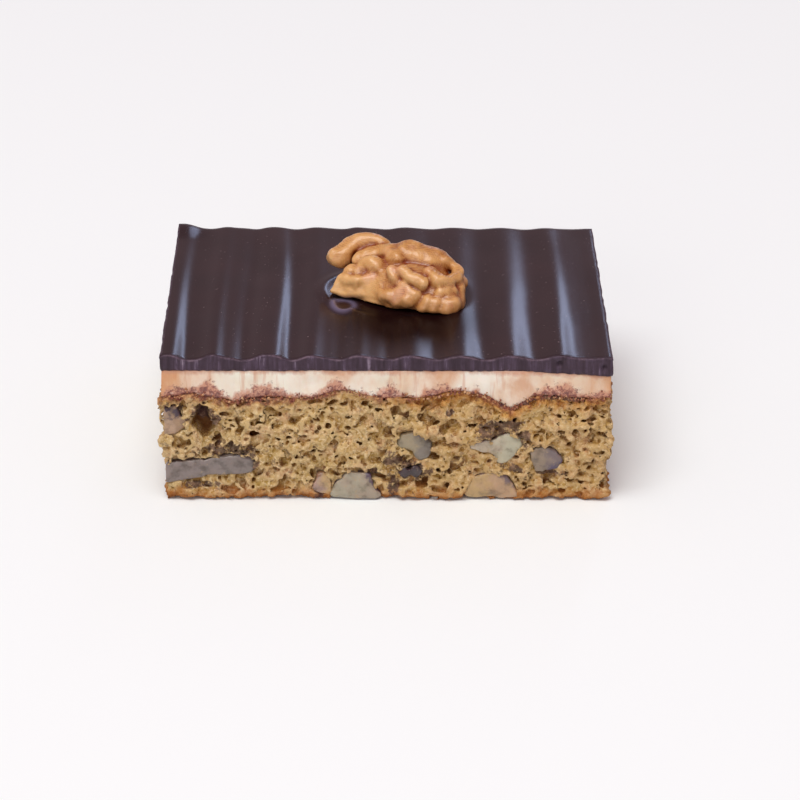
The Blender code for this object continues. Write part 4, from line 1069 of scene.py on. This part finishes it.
# Folds: (radius at the start, radius at the end, path).
NUT_FOLDS = (
    (2.6, 1.6, ((-14.3, 2.6, 6.1), (-12.8, 4.6, 7.4), (-10.4, 5.7, 8.4), (-7.4, 6.0, 8.9),
                (-4.8, 5.4, 8.5))),
    (1.9, 1.8, ((-9.2, 1.4, 6.1), (-7.0, 1.9, 7.2), (-4.4, 2.5, 8.2))),
    (1.7, 2.0, ((-7.4, -2.0, 6.9), (-6.0, -2.2, 7.1), (-4.8, -2.6, 6.7))),
    (1.8, 1.7, ((-10.2, -2.4, 4.9), (-8.4, -3.0, 5.0))),
    (0.9, 0.9, ((-10.8, -5.0, 4.1), (-8.0, -5.2, 4.3), (-5.0, -4.8, 4.5))),
    (1.1, 1.3, ((-0.5, -5.4, 7.6), (0.1, -6.4, 6.4))),
    (1.3, 1.5, ((2.2, -5.6, 7.8), (4.4, -6.9, 6.9), (6.6, -7.2, 6.1))),
    (0.7, 0.7, ((2.0, -7.4, 5.0), (3.6, -8.2, 4.4))),
    (1.6, 1.7, ((-1.6, -0.6, 8.6), (-0.2, -1.2, 8.6))),
    (2.3, 2.0, ((0.9, 0.8, 8.7), (3.6, 0.6, 8.4), (6.2, 0.4, 7.5))),
    (1.7, 1.6, ((8.4, 3.6, 7.4), (10.0, 3.4, 6.4))),
    (1.8, 1.6, ((7.6, -3.9, 6.7), (9.4, -4.9, 6.1), (11.5, -4.3, 5.2), (13.0, -1.6, 5.0))),
    (1.5, 1.2, ((13.0, -1.0, 5.3), (12.8, 1.2, 6.2), (11.2, 2.0, 6.9), (9.8, 1.4, 7.8))),
    (1.6, 1.5, ((-1.6, -7.6, 2.0), (-0.6, -8.2, 2.6))),
    (1.5, 1.2, ((1.2, -8.2, 1.6), (1.6, -8.0, 3.6))),
    (2.1, 1.9, ((3.8, -8.2, 2.2), (4.6, -8.0, 3.0))),
    (1.5, 1.5, ((7.2, -8.6, 1.0), (7.8, -8.2, 2.2))),
    (1.2, 1.3, ((10.6, -6.6, 3.7), (13.0, -4.9, 3.5))),
    (1.5, 1.4, ((9.7, -8.5, 0.9), (10.0, -8.3, 1.9))),
    (2.0, 1.9, ((12.3, -7.6, 1.0), (13.4, -6.8, 1.3))),
    (1.5, 1.4, ((14.3, -3.6, 1.6), (14.0, -2.4, 3.2))),
    (1.6, 1.7, ((-1.6, 6.2, 7.2), (-3.6, 7.8, 5.2))),
    (1.7, 1.8, ((1.8, 5.8, 8.0), (4.0, 7.4, 6.0))),
    (1.6, 1.6, ((7.6, 6.0, 6.0), (10.4, 5.2, 4.6))),
    (1.9, 2.0, ((-11.0, 5.4, 3.8), (-8.4, 7.0, 3.4))),
    (1.9, 1.8, ((-5.6, 8.0, 4.4), (-2.8, 8.6, 3.2))),
    (1.8, 1.9, ((0.2, 8.2, 5.2), (2.6, 8.8, 3.2))),
    (1.8, 1.8, ((5.6, 7.8, 4.6), (8.2, 7.2, 3.0))),
    (1.7, 1.8, ((10.8, 5.4, 3.4), (13.0, 3.0, 2.4))),
)


def fold_trail(path, count):
    """Points on the smooth curve through a fold's path."""
    path = np.asarray(path, float)
    if len(path) == 2:
        return path[0] + (path[1] - path[0]) * np.linspace(0.0, 1.0, count)[:, None]
    spans = len(path) - 1
    place = np.minimum(np.linspace(0.0, spans, count), spans - 1e-6)
    i = place.astype(int)
    t = (place - i)[:, None]
    before, start, end = path[np.maximum(i - 1, 0)], path[i], path[i + 1]
    after = path[np.minimum(i + 2, spans)]
    turn_in, turn_out = (end - before) / 2, (after - start) / 2
    return ((2 * t**3 - 3 * t**2 + 1) * start + (t**3 - 2 * t**2 + t) * turn_in
            + (3 * t**2 - 2 * t**3) * end + (t**3 - t**2) * turn_out)


def joined(first, second, blend):
    """Two solids' fields joined, with the crease between them rounded."""
    near = np.maximum(blend - np.abs(first - second), 0.0)
    return np.minimum(first, second) - near * near / (4.0 * blend)


def mass_field(spot, middle, sizes):
    """Distance from a rounded mass, negative inside it."""
    offsets = [axis - place for axis, place in zip(spot, middle)]
    reach = np.sqrt(sum((offset / size) ** 2 for offset, size in zip(offsets, sizes)))
    slope = np.sqrt(sum((offset / size ** 2) ** 2 for offset, size in zip(offsets, sizes)))
    return (reach * (reach - 1.0) / np.maximum(slope, 1e-4)).astype(np.float32)


def block_field(spot, middle, half_sizes, rounding, turn, lean):
    """Distance from the broken end's block, turned, slanted and leaning back."""
    x, y, z = (axis - place for axis, place in zip(spot, middle))
    beside = x * math.cos(turn) + y * math.sin(turn)
    behind = y * math.cos(turn) - x * math.sin(turn)
    leant = (beside - BLOCK_SLANT * z, behind * math.cos(lean) - z * math.sin(lean),
             z * math.cos(lean) + behind * math.sin(lean))
    past = [np.abs(part) - half + rounding for part, half in zip(leant, half_sizes)]
    outside = np.sqrt(sum(np.maximum(part, 0.0) ** 2 for part in past))
    return outside + np.minimum(np.maximum.reduce(past), 0.0) - rounding


def fold_field(spot, start_radius, end_radius, path):
    """Distance from a fold: a bent cone along its path."""
    trail = fold_trail(path, 4 * (len(path) - 1) + 1)
    radii = np.linspace(start_radius, end_radius, len(trail))
    fold = np.full(spot[0].shape, 1e3, np.float32)
    for start, end, wide, narrow in zip(trail, trail[1:], radii, radii[1:]):
        run = end - start
        offsets = [axis - place for axis, place in zip(spot, start)]
        share = np.clip(sum(offset * step for offset, step in zip(offsets, run)) / (run @ run), 0.0, 1.0)
        gap = np.sqrt(sum((offset - share * step) ** 2 for offset, step in zip(offsets, run)))
        fold = np.minimum(fold, gap - wide - (narrow - wide) * share)
    return fold


nut_lines = [steps_of(low, high, NUT_GRAIN) for low, high in ((-17.6, 16.4), (-12.8, 12.6), (-0.8, 13.4))]
nut_grid = np.meshgrid(*nut_lines, indexing="ij")
spot = [axis + 0.35 * lattice_grid(nut_lines, (3.0,) * 3, 60 + number)
        for number, axis in enumerate(nut_grid)]
nut_field = np.full(nut_grid[0].shape, 1e3, np.float32)
for mass in NUT_MASSES:
    nut_field = joined(nut_field, mass_field(spot, *mass), 0.9)
nut_field = joined(nut_field, block_field(spot, *NUT_BLOCK), CREASE_BLEND)
for fold in NUT_FOLDS:
    nut_field = joined(nut_field, fold_field(spot, *fold), CREASE_BLEND)
# Wrinkles of the skin: (height, size), and then the uneven flat base.
for number, (height, size) in enumerate(((0.2, 2.3), (0.12, 1.3), (0.06, 0.65))):
    nut_field = nut_field - height * lattice_grid(nut_lines, (size,) * 3, 70 + number)
base = 0.15 * lattice_grid(nut_lines, (3.0,) * 3, 73) + 0.15 - nut_grid[2]
nut_field = np.maximum(nut_field, base)
nut_points, nut_quads, nut_cells = largest_body(*surface_net(nut_field, nut_lines))
x, y, z = nut_points.T
# Painted shade darkens the creases and pales the open tops, by how enclosed each point is.
marks = {"crease": blurred(nut_field < 0.0, 4)[tuple(nut_cells.T)],
         "broken": (smooth_step((-3.0 - x) / 2.5) * smooth_step((-1.0 - y) / 2.0)
                    * smooth_step((5.6 - z) / 1.2)),
         # Painted shade: the nut is browner lower down, less so towards its left-hand end.
         "painted_low_shade": z + 5.0 * smooth_step((-1.0 - x) / 3.0)}
nut = mesh_object("kernel_half", nut_points, nut_quads, marks)
nut.rotation_euler = (0.0, 0.0, NUT_TURN)
nut.location = (NUT_PLACE[0] * MM, NUT_PLACE[1] * MM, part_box("walnut_half")[0].z)


def walnut_skin():
    """Walnut skin: golden tan on the folds, with painted shade making the creases browner and pinker, and a
    faint oily sheen.
    """
    skin = Finish("walnut_skin", 0.34, coat=0.3)
    skin.shader.inputs["Coat Roughness"].default_value = 0.25
    skin.body = skin.ramp(skin.noise(150.0, 4.0),
                          (0.3, (186, 124, 60)), (0.5, (208, 152, 88)), (0.7, (222, 170, 108)))
    skin.lay((214, 150, 118), skin.noise(240.0, 3.0, 0.5, (1.0, 1.3, 0.8)), 0.54, 0.7, 0.6)
    # Painted highlight on the tops and painted shade in the creases, bare flesh at the broken end, and
    # painted shade making the lower part browner.
    skin.lay((230, 182, 126), skin.mark("crease"), 0.46, 0.3, 0.5)
    skin.lay((132, 54, 10), skin.mark("crease"), 0.47, 0.7)
    skin.lay((240, 190, 126), skin.mark("broken"), most=0.55)
    skin.lay((176, 108, 54), skin.mark("painted_low_shade"), 5.0, 0.5, 0.5)
    skin.lay((160, 96, 52), skin.noise(1100.0, 2.0), 0.62, 0.72, 0.15)
    skin.soften(0.12, 0.9, 0.45, 0.25)
    return skin.done(skin.noise(800.0, 5.0, 0.6), 0.14)


nut.data.materials.append(walnut_skin())
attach(nut, "root")
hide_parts("walnut_half")


# ---- Studio ----
# A pale seamless floor, a large soft light overhead, and a tall window-like light behind
# to the right that draws the streaks along the chocolate's ridges.

# The floor is in mm like the pieces; lights and camera are in metres.
FLOOR_HALF = 4000.0
FLOOR_LEVEL = -0.2
CAMERA_HEIGHT_ANGLE = math.radians(26.0)
CAMERA_SWING = math.radians(-0.57)
CAMERA_ROLL = math.radians(0.33)
CAMERA_DISTANCE = 0.7017
CAMERA_AIM = Vector((0.00323, 0.0, 0.00672))
LENS = 140.6

floor_corners = [(x * FLOOR_HALF, y * FLOOR_HALF, FLOOR_LEVEL)
                 for x, y in ((-1, -1), (1, -1), (1, 1), (-1, 1))]
floor = mesh_object("floor", floor_corners, [(0, 1, 2, 3)], {})
floor_finish = Finish("pale_floor", 0.9)
floor_finish.shader.inputs["Base Color"].default_value = (0.93, 0.965, 0.96, 1.0)
floor_finish.shader.inputs["Specular IOR Level"].default_value = 0.0
floor.data.materials.append(floor_finish.material)


def add_softbox(name, place, aim, size, power, colour):
    """A rectangular soft light at a place, turned to face its aim."""
    light = bpy.data.lights.new(name, "AREA")
    light.shape = "RECTANGLE"
    light.size, light.size_y = size
    light.energy = power
    light.color = colour
    made = bpy.data.objects.new(name, light)
    made.location = place
    made.rotation_euler = (Vector(aim) - Vector(place)).to_track_quat("-Z", "Y").to_euler()
    made.visible_camera = False
    bpy.context.scene.collection.objects.link(made)


add_softbox("key", (-0.5, -1.1, 3.0), (0.0, 0.0, 0.0), (2.4, 2.0), 80.0, (0.98, 1.0, 0.99))
add_softbox("front_fill", (-0.8, -2.3, 1.0), (0.0, 0.0, 0.02), (1.2, 0.9), 8.5, (1.0, 0.99, 0.97))
add_softbox("window", (0.42, 1.8, 0.92), (0.0, 0.0, 0.03), (0.12, 0.9), 1.65, (0.54, 0.7, 1.0))
world = bpy.data.worlds.new("studio")
bpy.context.scene.world = world
world.use_nodes = True
world.node_tree.nodes["Background"].inputs["Color"].default_value = (1.0, 0.78, 0.84, 1.0)
world.node_tree.nodes["Background"].inputs["Strength"].default_value = 0.36
bpy.context.scene.view_settings.view_transform = "Standard"

back = Vector((math.sin(CAMERA_SWING) * math.cos(CAMERA_HEIGHT_ANGLE),
               -math.cos(CAMERA_SWING) * math.cos(CAMERA_HEIGHT_ANGLE), math.sin(CAMERA_HEIGHT_ANGLE)))
camera = bpy.data.objects.new("camera", bpy.data.cameras.new("camera"))
camera.data.lens = LENS
camera.location = CAMERA_AIM + back * CAMERA_DISTANCE
look = (-back).to_track_quat("-Z", "Y").to_matrix()
right, upward = look.col[0].copy(), look.col[1].copy()
look.col[0] = math.cos(CAMERA_ROLL) * right + math.sin(CAMERA_ROLL) * upward
look.col[1] = -math.sin(CAMERA_ROLL) * right + math.cos(CAMERA_ROLL) * upward
camera.rotation_euler = look.to_euler()
bpy.context.scene.collection.objects.link(camera)
bpy.context.scene.camera = camera
